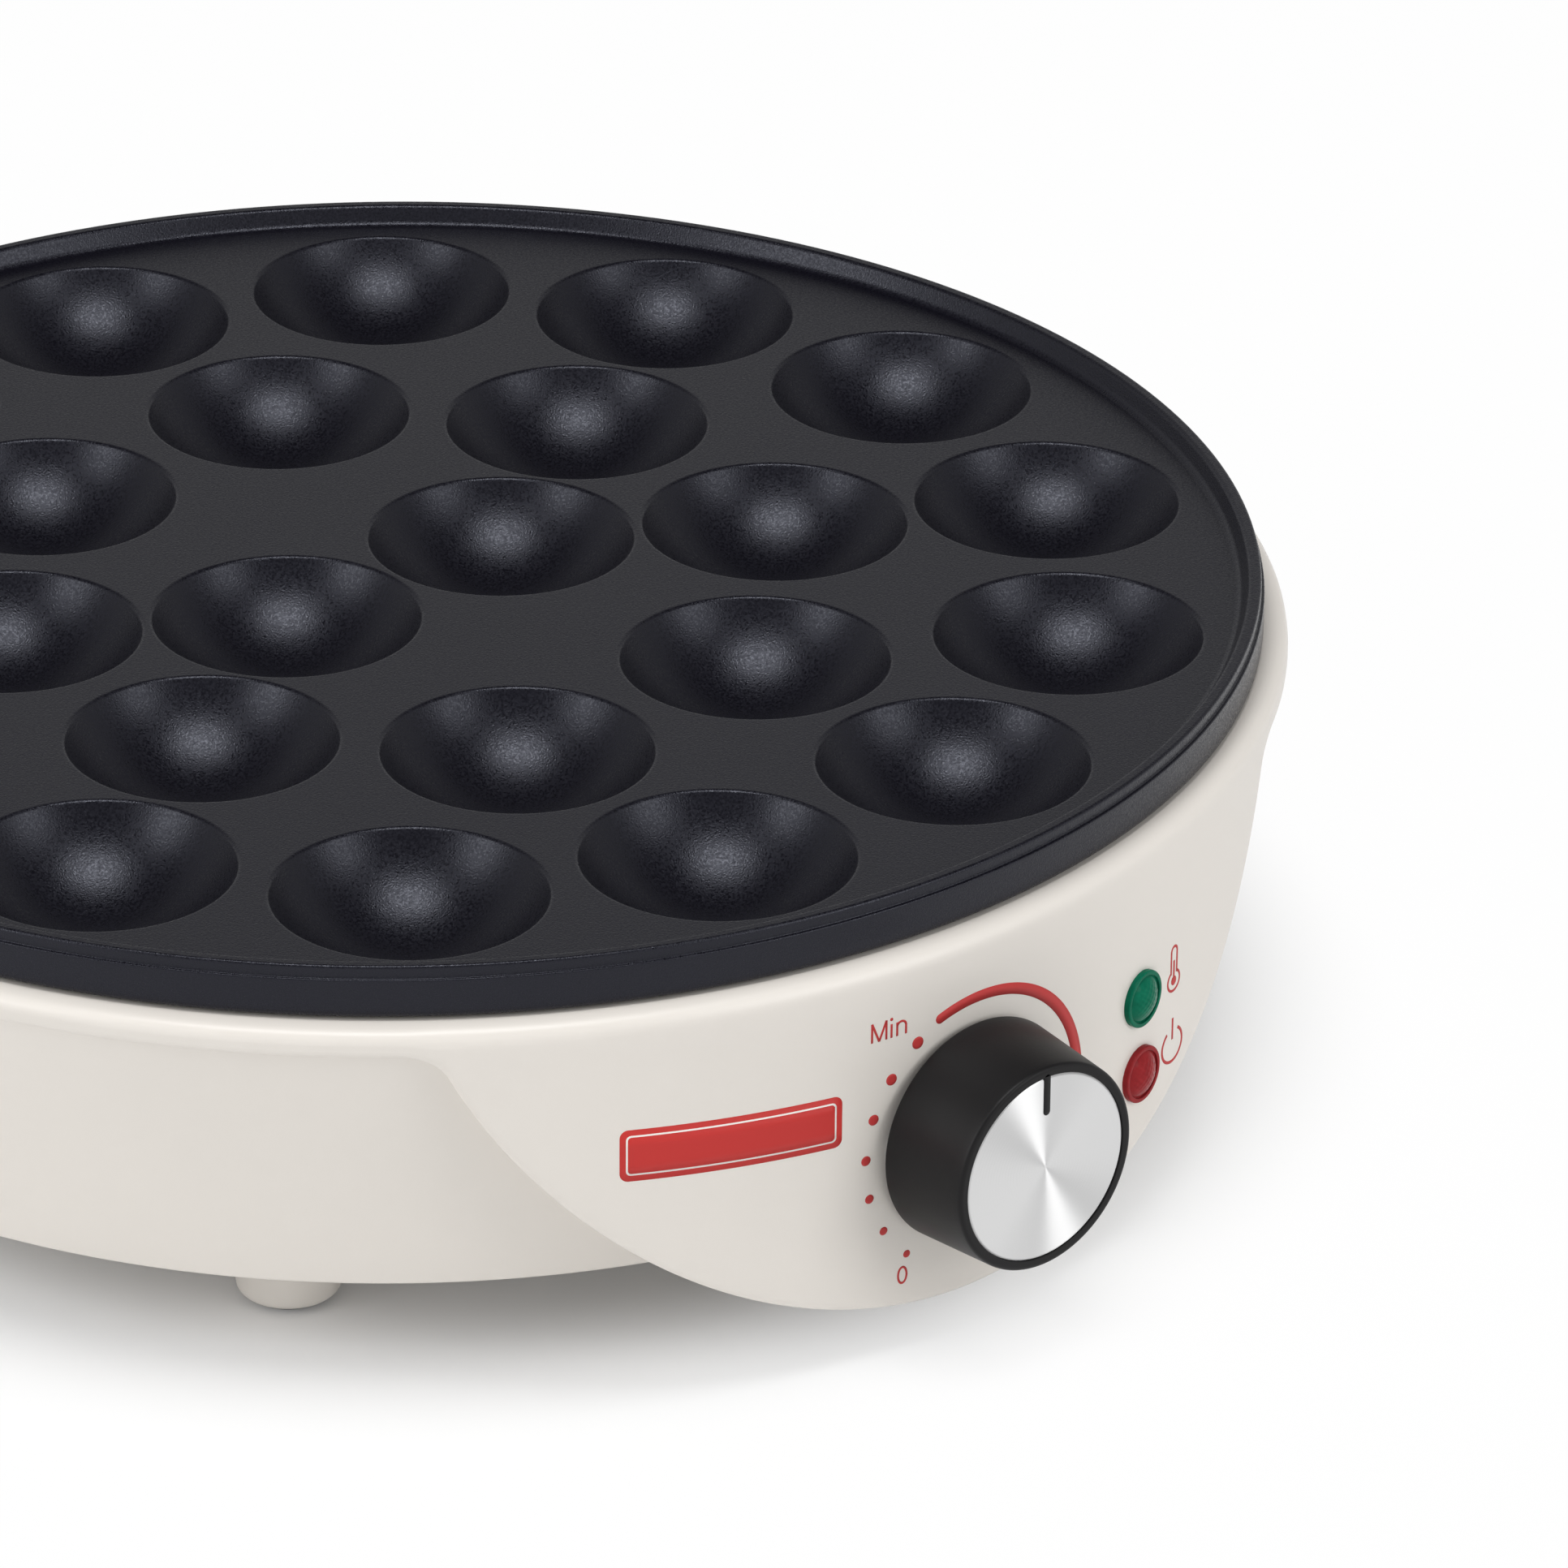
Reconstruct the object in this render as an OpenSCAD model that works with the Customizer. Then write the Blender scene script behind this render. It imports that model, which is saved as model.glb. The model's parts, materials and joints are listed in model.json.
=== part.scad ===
// Electric mini pancake maker: a round cast plate with 24 cups on a drum-shaped casing.
// Millimetres. +Z is up, the knob faces -Y and the feet stand on z = 0.

/* [Cups] */
// Diameter of a cup at the plate's face
cup_d = 43.5; // [38:0.5:48]
// Depth of a cup below the plate's face
cup_depth = 13; // [10:0.5:15]
// Wall of a cup under the plate
cup_wall = 2.5; // [2:0.1:3]
// Web between the two cups in the middle
inner_web = 1.5; // [1:0.1:3]
// Web between the middle cups and the second ring
mid_web = 1.4; // [1:0.1:3]
// Web between the second ring and the outer ring
outer_web = 1.6; // [1:0.1:3]
// Turn of the rings of cups about the plate's axis
ring_turn = 1.75; // [0:0.05:3]

/* [Plate] */
// Height of the plate's face above the table
plate_height = 74.6; // [70:0.1:85]
// Thickness of the plate
plate_t = 3; // [2.5:0.1:4]
// Land between the outer cups and the lip
rim_land = 4.7; // [2:0.1:8]
// Height of the lip above the plate's face
lip_h = 3.1; // [2.5:0.1:6]
// Width of the lip's top
lip_w = 2; // [1.5:0.1:4]
// Run of the lip's inner slope
lip_slope = 1.4; // [0.5:0.1:3]
// How far the lip stands in from the skirt
edge_step = 0.5; // [0.2:0.1:1]
// Height of the lip above its step
edge_step_h = 2.1; // [1:0.1:2.4]
// How far the skirt hangs below the plate's face
skirt_drop = 5.4; // [4.5:0.1:7]
// Wall of the skirt
skirt_wall = 3; // [2:0.1:4]
// Diameter of the bosses that carry the plate
boss_d = 9; // [8:0.5:11]
// Length of the bosses under the plate
boss_h = 13.5; // [13:0.5:18]
// Distance of the bosses outside the outer ring of cups
boss_out = 14; // [13:0.5:16]

/* [Casing] */
// Gap between the plate's skirt and the casing
heat_gap = 0.6; // [0.4:0.1:1.5]
// How far the casing's band stands out from the plate
band_overhang = 4; // [3:0.5:8]
// Height of the band
band_h = 4.4; // [4:0.1:8]
// Radius of the band's shoulder
shoulder_r = 3; // [1:0.5:3.5]
// How far the side wall stands in from the band
side_step = 2; // [1:0.5:4]
// How much the side wall tapers in towards its lower edge
side_taper = 14; // [8:0.5:18]
// Height of the casing's lower edge above the table
base_height = 16; // [15:0.5:22]
// Wall of the casing
casing_wall = 2.5; // [2:0.1:3]
// Width of the casing's shelf under the plate's rim
rim_shelf = 7; // [6:0.5:8]
// Thickness of the lugs that carry the plate
lug_h = 4; // [3:0.5:5]
// Width of the lugs
lug_w = 14; // [12:0.5:18]
// Diameter of the pillars for the base screws
pillar_d = 8; // [7:0.5:10]
// Height of the pillars
pillar_h = 20; // [16:0.5:22]
// Thickness of the ribs behind the pillars
rib_t = 3; // [2:0.5:4]

/* [Control panel] */
// Radius of the panel's round outline, seen from the front
panel_r = 90; // [84:1:98]
// Fillet between the panel's outline and the band
panel_fillet = 7; // [5:0.5:12]
// How far the panel reaches below the knob's axis
panel_drop = 29; // [26:0.1:31]
// Thickness of the panel where the thermostat is fixed
panel_pad = 7.3; // [6:0.1:9]
// Angle from the front to the lamps
lamp_angle = 15.8; // [14:0.1:20]
// Distance between the lamps
lamp_pitch = 13.4; // [12.5:0.1:18]
// Diameter of a lamp's lens
lens_d = 9.5; // [8.5:0.1:11]
// How far a lens stands out of its flange
lens_dome = 1.6; // [1:0.1:3]
// Diameter of a lens's stem
stem_d = 7.8; // [7:0.1:8]
// Diameter of a lamp bulb
bulb_d = 5.6; // [4.5:0.1:6]

/* [Knob] */
// Diameter of the knob at the panel
knob_d = 37; // [34:0.5:40]
// Diameter of the knob at its face
knob_top_d = 34.6; // [33.5:0.1:36]
// Height of the knob
knob_h = 16.5; // [14:0.5:20]
// Gap between the knob and the panel
knob_gap = 0.9; // [0.5:0.1:2]
// Wall of the knob
knob_wall = 2; // [1.6:0.1:3]
// Thickness of the knob's top
knob_top_t = 3; // [2.5:0.1:4]
// Diameter of the knob's metal face
face_d = 31.3; // [30:0.1:32.6]
// Thickness of the metal face
face_t = 0.8; // [0.6:0.1:1.2]
// Length of the pointer
pointer_l = 7; // [4:0.5:10]
// Width of the pointer
pointer_w = 1.3; // [0.8:0.1:2]
// Diameter of the knob's hub
hub_d = 12; // [10:0.5:14]
// Diameter of the thermostat's shaft
shaft_d = 6; // [5:0.1:6.5]

/* [Thermostat] */
// Width of the thermostat's body
stat_w = 34; // [32:1:36]
// Depth of the thermostat's body
stat_l = 24; // [22:0.5:28]
// Room above and below the thermostat's body
stat_room = 1.8; // [1:0.1:3]
// Thickness of the thermostat's front plate
stat_plate_t = 1; // [0.8:0.1:1.5]
// Distance between the thermostat's screws
stat_screw_pitch = 26; // [25:0.5:28]
// Diameter of the shaft's bush
bush_d = 10; // [9:0.1:11]
// Diameter of the adjusting pin
pin_d = 3; // [2.5:0.1:3.5]
// How far the pin moves in a full turn of the shaft
pin_lead = 1.5; // [1:0.1:2]

/* [Feet] */
// Diameter of a foot at the base cover
foot_d = 18.5; // [16:0.5:21]
// Diameter of a foot near the table
foot_low_d = 16.5; // [14:0.5:17.5]
// Angle from the front or the rear to a foot
foot_angle = 47.5; // [43:0.5:54]
// Distance of a foot's axis inside the casing's lower edge
foot_inset = 24.8; // [20:0.2:32]
// Diameter of a foot's pad
pad_d = 11.6; // [10:0.2:12]
// Thickness of a pad
pad_t = 2.5; // [2:0.1:4]
// How far a pad stands out of its foot
pad_proud = 1; // [0.5:0.1:1.5]

/* [Base cover] */
// Thickness of the base cover
base_t = 2.5; // [2:0.1:3]
// Distance of the base screws inside the casing's lower edge
base_screw_inset = 14.4; // [13:0.2:16]

/* [Heating] */
// Diameter of the heating element
element_d = 8; // [6.5:0.1:8.5]
// Distance of the element's axis below the plate's underside
element_drop = 9; // [8:0.5:10]
// Wall of the rib beside the element
element_rib = 3; // [2:0.1:4]
// Bend radius at the element's ends
element_bend = 10; // [9:0.5:12]
// Angle from the rear to the element's ends
element_open = 18; // [16:0.5:24]
// Thickness of the heat shield
shield_t = 0.8; // [0.6:0.1:1.2]
// Distance of the shield's edge outside the bosses
shield_edge = 6; // [5:0.5:7]
// Height of the spacers between the shield and the bosses
spacer_h = 5; // [4.5:0.5:8]
// Diameter of the sensor bulb
sensor_d = 6; // [5:0.1:7]
// Length of the sensor bulb
sensor_l = 16; // [14:0.5:16.5]
// Diameter of the thermal cutout
cutout_d = 15; // [13:0.5:16]
// Height of the thermal cutout
cutout_h = 9.4; // [8.5:0.1:10]

/* [Screws] */
// Diameter of the large screws
big_screw_d = 4; // [3.5:0.1:4.2]
// Diameter of the small screws
small_screw_d = 3; // [2.5:0.1:3.2]
// Diameter of a large screw's head
big_head_d = 7.4; // [7:0.1:8]
// Diameter of a small screw's head
small_head_d = 5.8; // [5.2:0.1:6.2]
// Height of a screw's head
head_h = 2; // [1.5:0.1:2.4]

/* [Cord inlet] */
// Bore of the cord gland
gland_bore = 7.2; // [6:0.1:8]
// Diameter of the gland's neck
gland_neck_d = 12; // [11:0.1:13]
// Diameter of the gland's flanges
gland_flange_d = 16.5; // [15:0.1:18]
// Thickness of the gland's flanges
gland_flange_t = 2; // [1.5:0.1:2.5]
// How far the gland's boss stands out of the side wall
gland_out = 4; // [3:0.5:5]

/* [Hidden] */
$fn = 96;
// Clearance around shafts and screws
fit = 0.05;
// Clearance around plain fits
loose = 0.3;
// How far fused shapes reach into each other
fuse = 0.5;
// How far a cut runs past the face it opens
past = 1;

// Colours
cream = [0.89, 0.87, 0.84];
cast_black = [0.22, 0.22, 0.24];
knob_black = [0.14, 0.14, 0.15];
steel = [0.72, 0.73, 0.75];
brass = [0.80, 0.66, 0.36];
ceramic_white = [0.93, 0.92, 0.88];
phenolic = [0.30, 0.20, 0.15];

// Cup rings: number of cups, radius of the ring, angle of its first cup
inner_count = 2;
mid_count = 8;
outer_count = 14;
mid_start = 180 / mid_count;
inner_ring_r = (cup_d + inner_web) / 2;
mid_ring_r = inner_ring_r * cos(mid_start)
    + sqrt(pow(cup_d + mid_web, 2) - pow(inner_ring_r * sin(mid_start), 2));
outer_ring_r = mid_ring_r + cup_d + outer_web;
rings = [
    [inner_count, inner_ring_r, ring_turn],
    [mid_count, mid_ring_r, mid_start + ring_turn],
    [outer_count, outer_ring_r, ring_turn]
];

// Plate
flat_z = plate_height;
under_z = flat_z - plate_t;
lip_z = flat_z + lip_h;
skirt_z = flat_z - skirt_drop;
land_r = outer_ring_r + cup_d / 2 + rim_land;
lip_in_r = land_r + lip_slope;
lip_out_r = lip_in_r + lip_w;
plate_r = lip_out_r + edge_step;
skirt_in_r = plate_r - skirt_wall;
cup_sphere_r = (pow(cup_d / 2, 2) + pow(cup_depth, 2)) / (2 * cup_depth);
cup_centre_z = flat_z - cup_depth + cup_sphere_r;

// Bosses, spacers, shield and lugs stand on top of each other, between the outer cups
boss_angle = 1.5 * 360 / outer_count;
boss_angles = [boss_angle, 180 - boss_angle, 180 + boss_angle, 360 - boss_angle];
boss_ring_r = outer_ring_r + boss_out;
boss_z = under_z - boss_h;
shield_top_z = boss_z - spacer_h;
shield_z = shield_top_z - shield_t;
lug_z = shield_z - lug_h;
shield_room = 4;
spacer_d = boss_d + 1;
lug_in = lug_w / 2 + 1;
plate_screw_l = boss_z - lug_z + boss_h - 4;

// Casing
casing_top_z = skirt_z - heat_gap;
band_low_z = casing_top_z - band_h;
band_r = plate_r + band_overhang;
wall_top_r = band_r - side_step;
wall_low_r = wall_top_r - side_taper;
shelf_r = plate_r - rim_shelf;
function wall_r(z) = wall_low_r + (wall_top_r - wall_low_r) * (z - base_height) / (band_low_z - base_height);
base_top_z = base_height + base_t;
base_r = wall_low_r - casing_wall - loose;
base_screw_r = wall_low_r - base_screw_inset;
base_screw_l = 14;
base_screw_count = 6;
base_screw_angles = [for (i = [0 : base_screw_count - 1]) i * 360 / base_screw_count];

// Knob axis, halfway between the base cover and the shield
knob_z = (base_top_z + shield_z) / 2;
panel_low_z = knob_z - panel_drop;
panel_centre_z = panel_low_z + panel_r;
fillet_centre_z = band_low_z - panel_fillet;
fillet_x = sqrt(pow(panel_r + panel_fillet, 2) - pow(panel_centre_z - fillet_centre_z, 2));
fillet_blunt = 0.2;
touch_share = panel_r / (panel_r + panel_fillet);
touch_x = fillet_x * touch_share;
touch_z = panel_centre_z - (panel_centre_z - fillet_centre_z) * touch_share;
panel_back_y = -(wall_low_r - casing_wall) / 2;
pocket_in_r = wall_low_r - casing_wall;

// The plate's axis stands behind the middle of the footprint, which the knob makes longer at the front
axis_y = (knob_gap + knob_h) / 2;

// Thermostat, measured outwards from the panel's face along the knob's axis
stat_h = shield_z - base_top_z - 2 * stat_room;
stat_front = -panel_pad - stat_plate_t;
stat_pad_side = 4;
stat_pad_rise = 2;
stat_pad_w = stat_w + 2 * stat_pad_side;
stat_pad_h = stat_h + 2 * stat_pad_rise;
stat_pad_front = -(casing_wall + band_r - sqrt(pow(band_r, 2) - pow(stat_pad_w / 2, 2))) / 2;
stat_back = stat_front - stat_l;
bush_front = -fuse;
bush_seat = 6;
bush_back = stat_front - bush_seat;
collar_d = shaft_d + 2.4;
collar_t = 2.2;
chamber_d = collar_d + 0.8;
chamber_l = 12;
shaft_room = 4;
chamber_back = bush_back - chamber_l;
shaft_back = chamber_back + shaft_room;
pin_hole_l = 4.8;
turn_hot = 100;
turn_off = 137;
pin_room = 0.3;
pin_front_gap = pin_lead * turn_off / 360 + pin_room;
pin_front = shaft_back + pin_hole_l - pin_front_gap;
pin_out = 2.3;
pin_back = stat_back - pin_out;
leaf_gap = pin_lead * turn_hot / 360 + pin_room;
leaf_t = 0.4;
leaf_w = 6;
leaf_foot = 3;
leaf_rise = 11;
hub_back = knob_gap + 1.5;
hub_bore_end = knob_gap + knob_h - knob_top_t;
shaft_front = hub_bore_end - loose;
shaft_flat = shaft_d / 2 - 1;
spring_t = 0.4;
spring_w = 3.4;
spring_l = 8;
face_recess = face_t + 0.1;
face_floor = knob_gap + knob_h - face_recess;
head_seat = -2;
tab_w = 6.3;
tab_t = 0.8;
tab_l = 8;
tab_x = 10;
tab_drop = 4;

// Lamps, measured outwards from the panel's face
lamp_pad = 5;
lamp_pad_d = stem_d + 6;
lamp_ring_t = 2;
lamp_ring_d = stem_d + 4;
stem_l = lamp_pad + lamp_ring_t + 1.5;
lens_flange_t = 0.8;
bulb_l = 12;
bulb_front = -1.2;

// Element, its rib and ends
element_r = (mid_ring_r + outer_ring_r) / 2;
element_z = under_z - element_drop;
element_gap = 0.2;
element_neck = 2;
rib_w = element_d + 2 * (element_gap + element_rib);
rib_z = element_z - element_d / 2;
element_out = 3;
element_low_z = shield_z - element_out;
bead_h = 3;
pin_l = 10;
pin_end_z = element_low_z - pin_l;
element_pin_d = 3.2;
bead_d = element_d + 1;

// Sensor and cutout lie on the Y axis, where the second ring of cups leaves room
pocket_y = mid_ring_r * cos(mid_start) - cup_d / 2;
small_boss_d = 6;
sensor_boss_wall = 3.5;
sensor_boss_d = sensor_d + 2 * sensor_boss_wall;
sensor_low_z = under_z - sensor_l - fuse - loose;
sensor_screw_y = (sensor_boss_d + small_boss_d) / 2 - fuse;
retainer_t = 1;
retainer_w = 12;
tapped_l = 9;
capillary_d = 1.6;
cutout_boss_z = boss_z;
cutout_flange_t = 0.8;
cutout_flange_w = 10;
cutout_pitch = 24;
cutout_head_d = small_head_d - 1;
cutout_low_z = cutout_boss_z - cutout_flange_t - cutout_h;
cutout_tab = 4;

// Terminal block on the base cover, and the earth screw in the shield
block_inset = 25;
block_y = base_r - block_inset;
block_size = [32, 14, 12];
block_poles = 10;
block_screw_x = 5;
blind_floor = 0.7;
block_screw_l = block_size[2] + base_t - blind_floor - loose;
block_front_y = block_y - block_size[1] / 2;
block_lead_z = base_top_z + block_size[2] / 2;
earth_x = -60;
earth_y = 60;
earth_nut_h = 3.2;
earth_nut_d = 8;

// Gland in the rear wall
gland_z = knob_z;
gland_face_y = wall_r(gland_z) + gland_out;
gland_boss_d = gland_flange_d + 4;
gland_inner_y = wall_r(gland_z) - casing_wall - 2.5;

// Feet: angle of each one from +X
foot_r = wall_low_r - foot_inset;
front = -90;
rear = 90;
spigot_d = 6;
foot_screw_l = 8;
foot_head_d = spigot_d + 2;

// Leads: thickness, and points between the two ends chosen by hand
lead_d = 2.2;
lamp_lead_d = 1.8;
lead_gap = 0.4;
lead_start = 4;
lead_low_z = base_top_z + 3;
lead_run_z = base_top_z + 4.5;
lead_rise_z = base_top_z + 6.5;
lead_high_z = base_top_z + 9.5;
lamp_tabs = [2, 6];
live_lead_pts = [
    [14, 81, lead_low_z], [30, 66, lead_low_z], [52, 32, lead_run_z], [56, 0, lead_run_z],
    [50, -40, lead_run_z], [34, -74, lead_rise_z], [15, -92, lead_high_z]
];
load_lead_pts = [
    [-15, -92, lead_high_z], [-34, -74, lead_rise_z], [-46, -40, lead_run_z],
    [-44, -4, lead_run_z], [-26, 22, lead_run_z], [-5, 32.5, lead_run_z + 1]
];
element_lead_pts = [[3, 46, 28], [9, 60, 27.5], [16, 78, 27]];
neutral_lead_pts = [[-11, 82, 24], [-15, 80, 25]];
earth_lead_pts = [[-2, 78, 25], [-16, 68, 25], [-38, 60, 26], [-54, 59, 31]];
capillary_pts = [[0, -39, 43], [-2, -48, 39], [-4, -64, 38], [-6, -84, 40]];
heat_lamp_lead_pts = [[27, -114, 37]];
power_lamp_lead_pts = [[26, -115, 28.5]];

// Puts what is drawn around the plate's axis in its place
module at_axis() {
    translate([0, axis_y, 0]) children();
}

// Places a copy at each angle on a circle
module around(angles, r) {
    for (a = angles) rotate([0, 0, a]) translate([r, 0, 0]) children();
}

// Places a copy at the middle of every cup
module at_cups() {
    for (ring = rings) {
        around([for (i = [0 : ring[0] - 1]) ring[2] + i * 360 / ring[0]], ring[1]) children();
    }
}

// Turns +Z into the way out of the panel, at an angle from the front and a height, with +Y upwards
module on_panel(angle, z) {
    rotate([0, 0, angle]) translate([0, -band_r, z]) rotate([90, 0, 0]) children();
}

// The same on the knob's axis
module on_knob_axis() {
    on_panel(0, knob_z) children();
}

// The same on a lamp's axis: side is 1 for the upper lamp and -1 for the lower one
module on_lamp(side) {
    on_panel(lamp_angle, knob_z + side * lamp_pitch / 2) children();
}

// Cylinder between two heights
module rod(d, from, to) {
    translate([0, 0, from]) cylinder(d = d, h = to - from);
}

// Tube between two heights
module sleeve(d_out, d_in, from, to) {
    difference() {
        rod(d_out, from, to);
        rod(d_in, from - past, to + past);
    }
}

// Block between two corners
module block(low, high) {
    translate(low) cube(high - low);
}

// Screw that points down from the underside of its head at z
module screw_down(d, head, z, l) {
    rod(head, z, z + head_h);
    rod(d, z - l, z + fuse);
}

// Screw that points up from the top of its head at z
module screw_up(d, head, z, l) {
    rod(head, z - head_h, z);
    rod(d, z - fuse, z + l);
}

// Points on a smooth curve through a list of points
function slope(p, i) =
    let (a = p[max(i - 1, 0)], b = p[i], c = p[min(i + 1, len(p) - 1)])
    let (before = norm(b - a), after = norm(c - b))
    unit(c - a) * (before == 0 || after == 0 ? before + after : min(before, after));
function along(p, i, t) =
    let (b = p[i], c = p[i + 1], m = slope(p, i), n = slope(p, i + 1))
    b + t * m + t * t * (3 * (c - b) - 2 * m - n) + t * t * t * (2 * (b - c) + m + n);
function smooth(p, steps) = [
    for (i = [0 : len(p) - 2], s = [0 : steps - 1]) along(p, i, s / steps),
    p[len(p) - 1]
];
function unit(v) = v / norm(v);
function heading(p, i) = unit(p[min(i + 1, len(p) - 1)] - p[max(i - 1, 0)]);

// Round lead through a list of points
module lead(points, d) {
    steps = 3;
    sides = 8;
    sideways = [0.82, 0.31, 0.48];
    p = smooth(points, steps);
    rows = len(p);
    corners = [
        for (i = [0 : rows - 1])
            let (t = heading(p, i), u = unit(cross(sideways, t)), v = cross(t, u))
            for (k = [0 : sides - 1]) p[i] + d / 2 * (cos(k * 360 / sides) * u + sin(k * 360 / sides) * v)
    ];
    walls = [
        for (i = [0 : rows - 2], k = [0 : sides - 1])
            let (a = i * sides + k, b = i * sides + (k + 1) % sides)
            each [[a, a + sides, b + sides], [a, b + sides, b]]
    ];
    first = [for (k = [0 : sides - 1]) k];
    last = [for (k = [sides - 1 : -1 : 0]) (rows - 1) * sides + k];
    polyhedron(points = corners, faces = concat(walls, [first, last]));
}

// Lead between two ends, each a point and the way the lead leaves it
module lead_between(from, points, to, d) {
    start = [for (t = [0, 0.5, 1]) from[0] + t * lead_start * from[1]];
    finish = [for (t = [1, 0.5, 0]) to[0] + t * lead_start * to[1]];
    lead(concat(start, points, finish), d);
}

// Cooking plate

module plate_outline() {
    polygon([
        [0, under_z],
        [skirt_in_r, under_z],
        [skirt_in_r, skirt_z],
        [plate_r, skirt_z],
        [plate_r, lip_z - edge_step_h],
        [lip_out_r, lip_z - edge_step_h],
        [lip_out_r, lip_z],
        [lip_in_r, lip_z],
        [land_r, flat_z],
        [0, flat_z]
    ]);
}

module cup_undersides() {
    intersection() {
        at_cups() translate([0, 0, cup_centre_z]) sphere(r = cup_sphere_r + cup_wall);
        rod(2 * skirt_in_r, flat_z - 2 * (cup_depth + cup_wall), under_z + fuse);
    }
}

module plate_bosses() {
    around(boss_angles, boss_ring_r) rod(boss_d, boss_z, under_z + fuse);
    translate([0, -pocket_y, 0]) {
        rod(sensor_boss_d, sensor_low_z, under_z + fuse);
        translate([0, sensor_screw_y, 0]) rod(small_boss_d, sensor_low_z, under_z + fuse);
    }
    translate([0, pocket_y, 0]) {
        rod(cutout_d, cutout_boss_z, under_z + fuse);
        for (s = [-1, 1]) {
            translate([0, s * cutout_pitch / 2, 0]) rod(small_boss_d, cutout_boss_z, under_z + fuse);
        }
    }
}

module plate_holes() {
    around(boss_angles, boss_ring_r) rod(big_screw_d + 2 * fit, boss_z - past, under_z - past);
    translate([0, -pocket_y, 0]) {
        rod(sensor_d + 2 * fit, sensor_low_z - past, sensor_low_z + sensor_l + loose);
        translate([0, sensor_screw_y, 0]) {
            rod(small_screw_d + 2 * fit, sensor_low_z - past, under_z - past);
        }
    }
    for (s = [-1, 1]) {
        translate([0, pocket_y + s * cutout_pitch / 2, 0]) {
            rod(small_screw_d + 2 * fit, cutout_boss_z - past, under_z - past);
        }
    }
}

module element_groove() {
    groove_d = element_d + 2 * element_gap;
    rotate_extrude() {
        translate([element_r, element_z]) circle(d = groove_d);
        translate([element_r - groove_d / 2, rib_z - past]) square([groove_d, element_z - rib_z + past]);
    }
}

module cooking_plate() {
    color(cast_black) at_axis() difference() {
        union() {
            rotate_extrude() plate_outline();
            cup_undersides();
            rotate([0, 0, rear + element_open]) rotate_extrude(angle = 360 - 2 * element_open) {
                translate([element_r - rib_w / 2, rib_z]) square([rib_w, under_z + fuse - rib_z]);
            }
            plate_bosses();
        }
        at_cups() translate([0, 0, cup_centre_z]) sphere(r = cup_sphere_r);
        element_groove();
        plate_holes();
    }
}

// Casing

// The drum before its sides are cut back, with the round shoulder under the plate
module drum_outline() {
    polygon([
        [0, panel_low_z - past],
        [band_r, panel_low_z - past],
        [band_r, casing_top_z - shoulder_r],
        [band_r - shoulder_r, casing_top_z],
        [0, casing_top_z]
    ]);
    translate([band_r - shoulder_r, casing_top_z - shoulder_r]) circle(r = shoulder_r);
}

// What is cut away outside and below the tapering side wall
module recess_outline() {
    polygon([
        [pocket_in_r - past, panel_low_z - 2 * past],
        [pocket_in_r - past, base_height],
        [wall_low_r, base_height],
        [wall_top_r, band_low_z],
        [band_r + past, band_low_z],
        [band_r + past, panel_low_z - 2 * past]
    ]);
}

module casing_hollow_outline() {
    polygon([
        [0, panel_low_z - 2 * past],
        [pocket_in_r, panel_low_z - 2 * past],
        [pocket_in_r, base_height],
        [wall_top_r - casing_wall, band_low_z],
        [wall_top_r - casing_wall, casing_top_z - casing_wall],
        [shelf_r, casing_top_z - casing_wall],
        [shelf_r, casing_top_z + past],
        [0, casing_top_z + past]
    ]);
}

// Disc of the panel seen from the front, up to a height
module panel_disc(inset, top_z) {
    intersection() {
        translate([0, panel_centre_z]) circle(r = panel_r - inset);
        translate([-panel_r, panel_low_z - past]) square([2 * panel_r, top_z - panel_low_z + past]);
    }
}

// Fillet on each side between the disc and the band, with a blunt end at both
module panel_fillets(top_z) {
    for (side = [0, 1]) mirror([side, 0]) difference() {
        polygon([
            [touch_x - fillet_blunt, touch_z],
            [fillet_x, band_low_z - fillet_blunt],
            [fillet_x, top_z],
            [touch_x - panel_fillet, top_z]
        ]);
        translate([fillet_x + fillet_blunt, fillet_centre_z - fillet_blunt]) circle(r = panel_fillet);
    }
}

// Carries an outline seen from the front back through the casing's front
module from_front() {
    translate([0, panel_back_y, 0]) rotate([90, 0, 0]) {
        linear_extrude(height = band_r + panel_back_y + 2 * past) children();
    }
}

module casing_recess() {
    difference() {
        rotate_extrude() recess_outline();
        from_front() {
            panel_disc(0, band_low_z + fuse);
            panel_fillets(band_low_z + fuse);
        }
    }
}

module panel_hollow() {
    hollow_d = 2 * (band_r - casing_wall);
    intersection() {
        union() {
            rod(hollow_d, base_top_z, band_low_z);
            sleeve(hollow_d, 2 * wall_low_r, panel_low_z - past, base_top_z + fuse);
        }
        from_front() panel_disc(casing_wall, band_low_z);
    }
}

// Rib from a pillar to the middle of the tapering wall
module pillar_rib() {
    low = base_top_z + past;
    high = base_top_z + pillar_h;
    reach = base_screw_r + casing_wall / 2;
    rotate([90, 0, 0]) linear_extrude(height = rib_t, center = true) {
        polygon([[0, low], [wall_r(low) - reach, low], [wall_r(high) - reach, high], [0, high]]);
    }
}

module casing_supports() {
    lug_end = (wall_r(shield_z) - casing_wall + wall_r(lug_z)) / 2 - boss_ring_r;
    around(boss_angles, boss_ring_r) block([-lug_in, -lug_w / 2, lug_z], [lug_end, lug_w / 2, shield_z]);
    around(base_screw_angles, base_screw_r) {
        rod(pillar_d, base_top_z, base_top_z + pillar_h);
        pillar_rib();
    }
    on_knob_axis() {
        block(
            [-stat_pad_w / 2, -stat_pad_h / 2, -panel_pad],
            [stat_pad_w / 2, stat_pad_h / 2, stat_pad_front]
        );
    }
    for (side = [-1, 1]) on_lamp(side) rod(lamp_pad_d, -lamp_pad, -casing_wall / 2);
}

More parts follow.
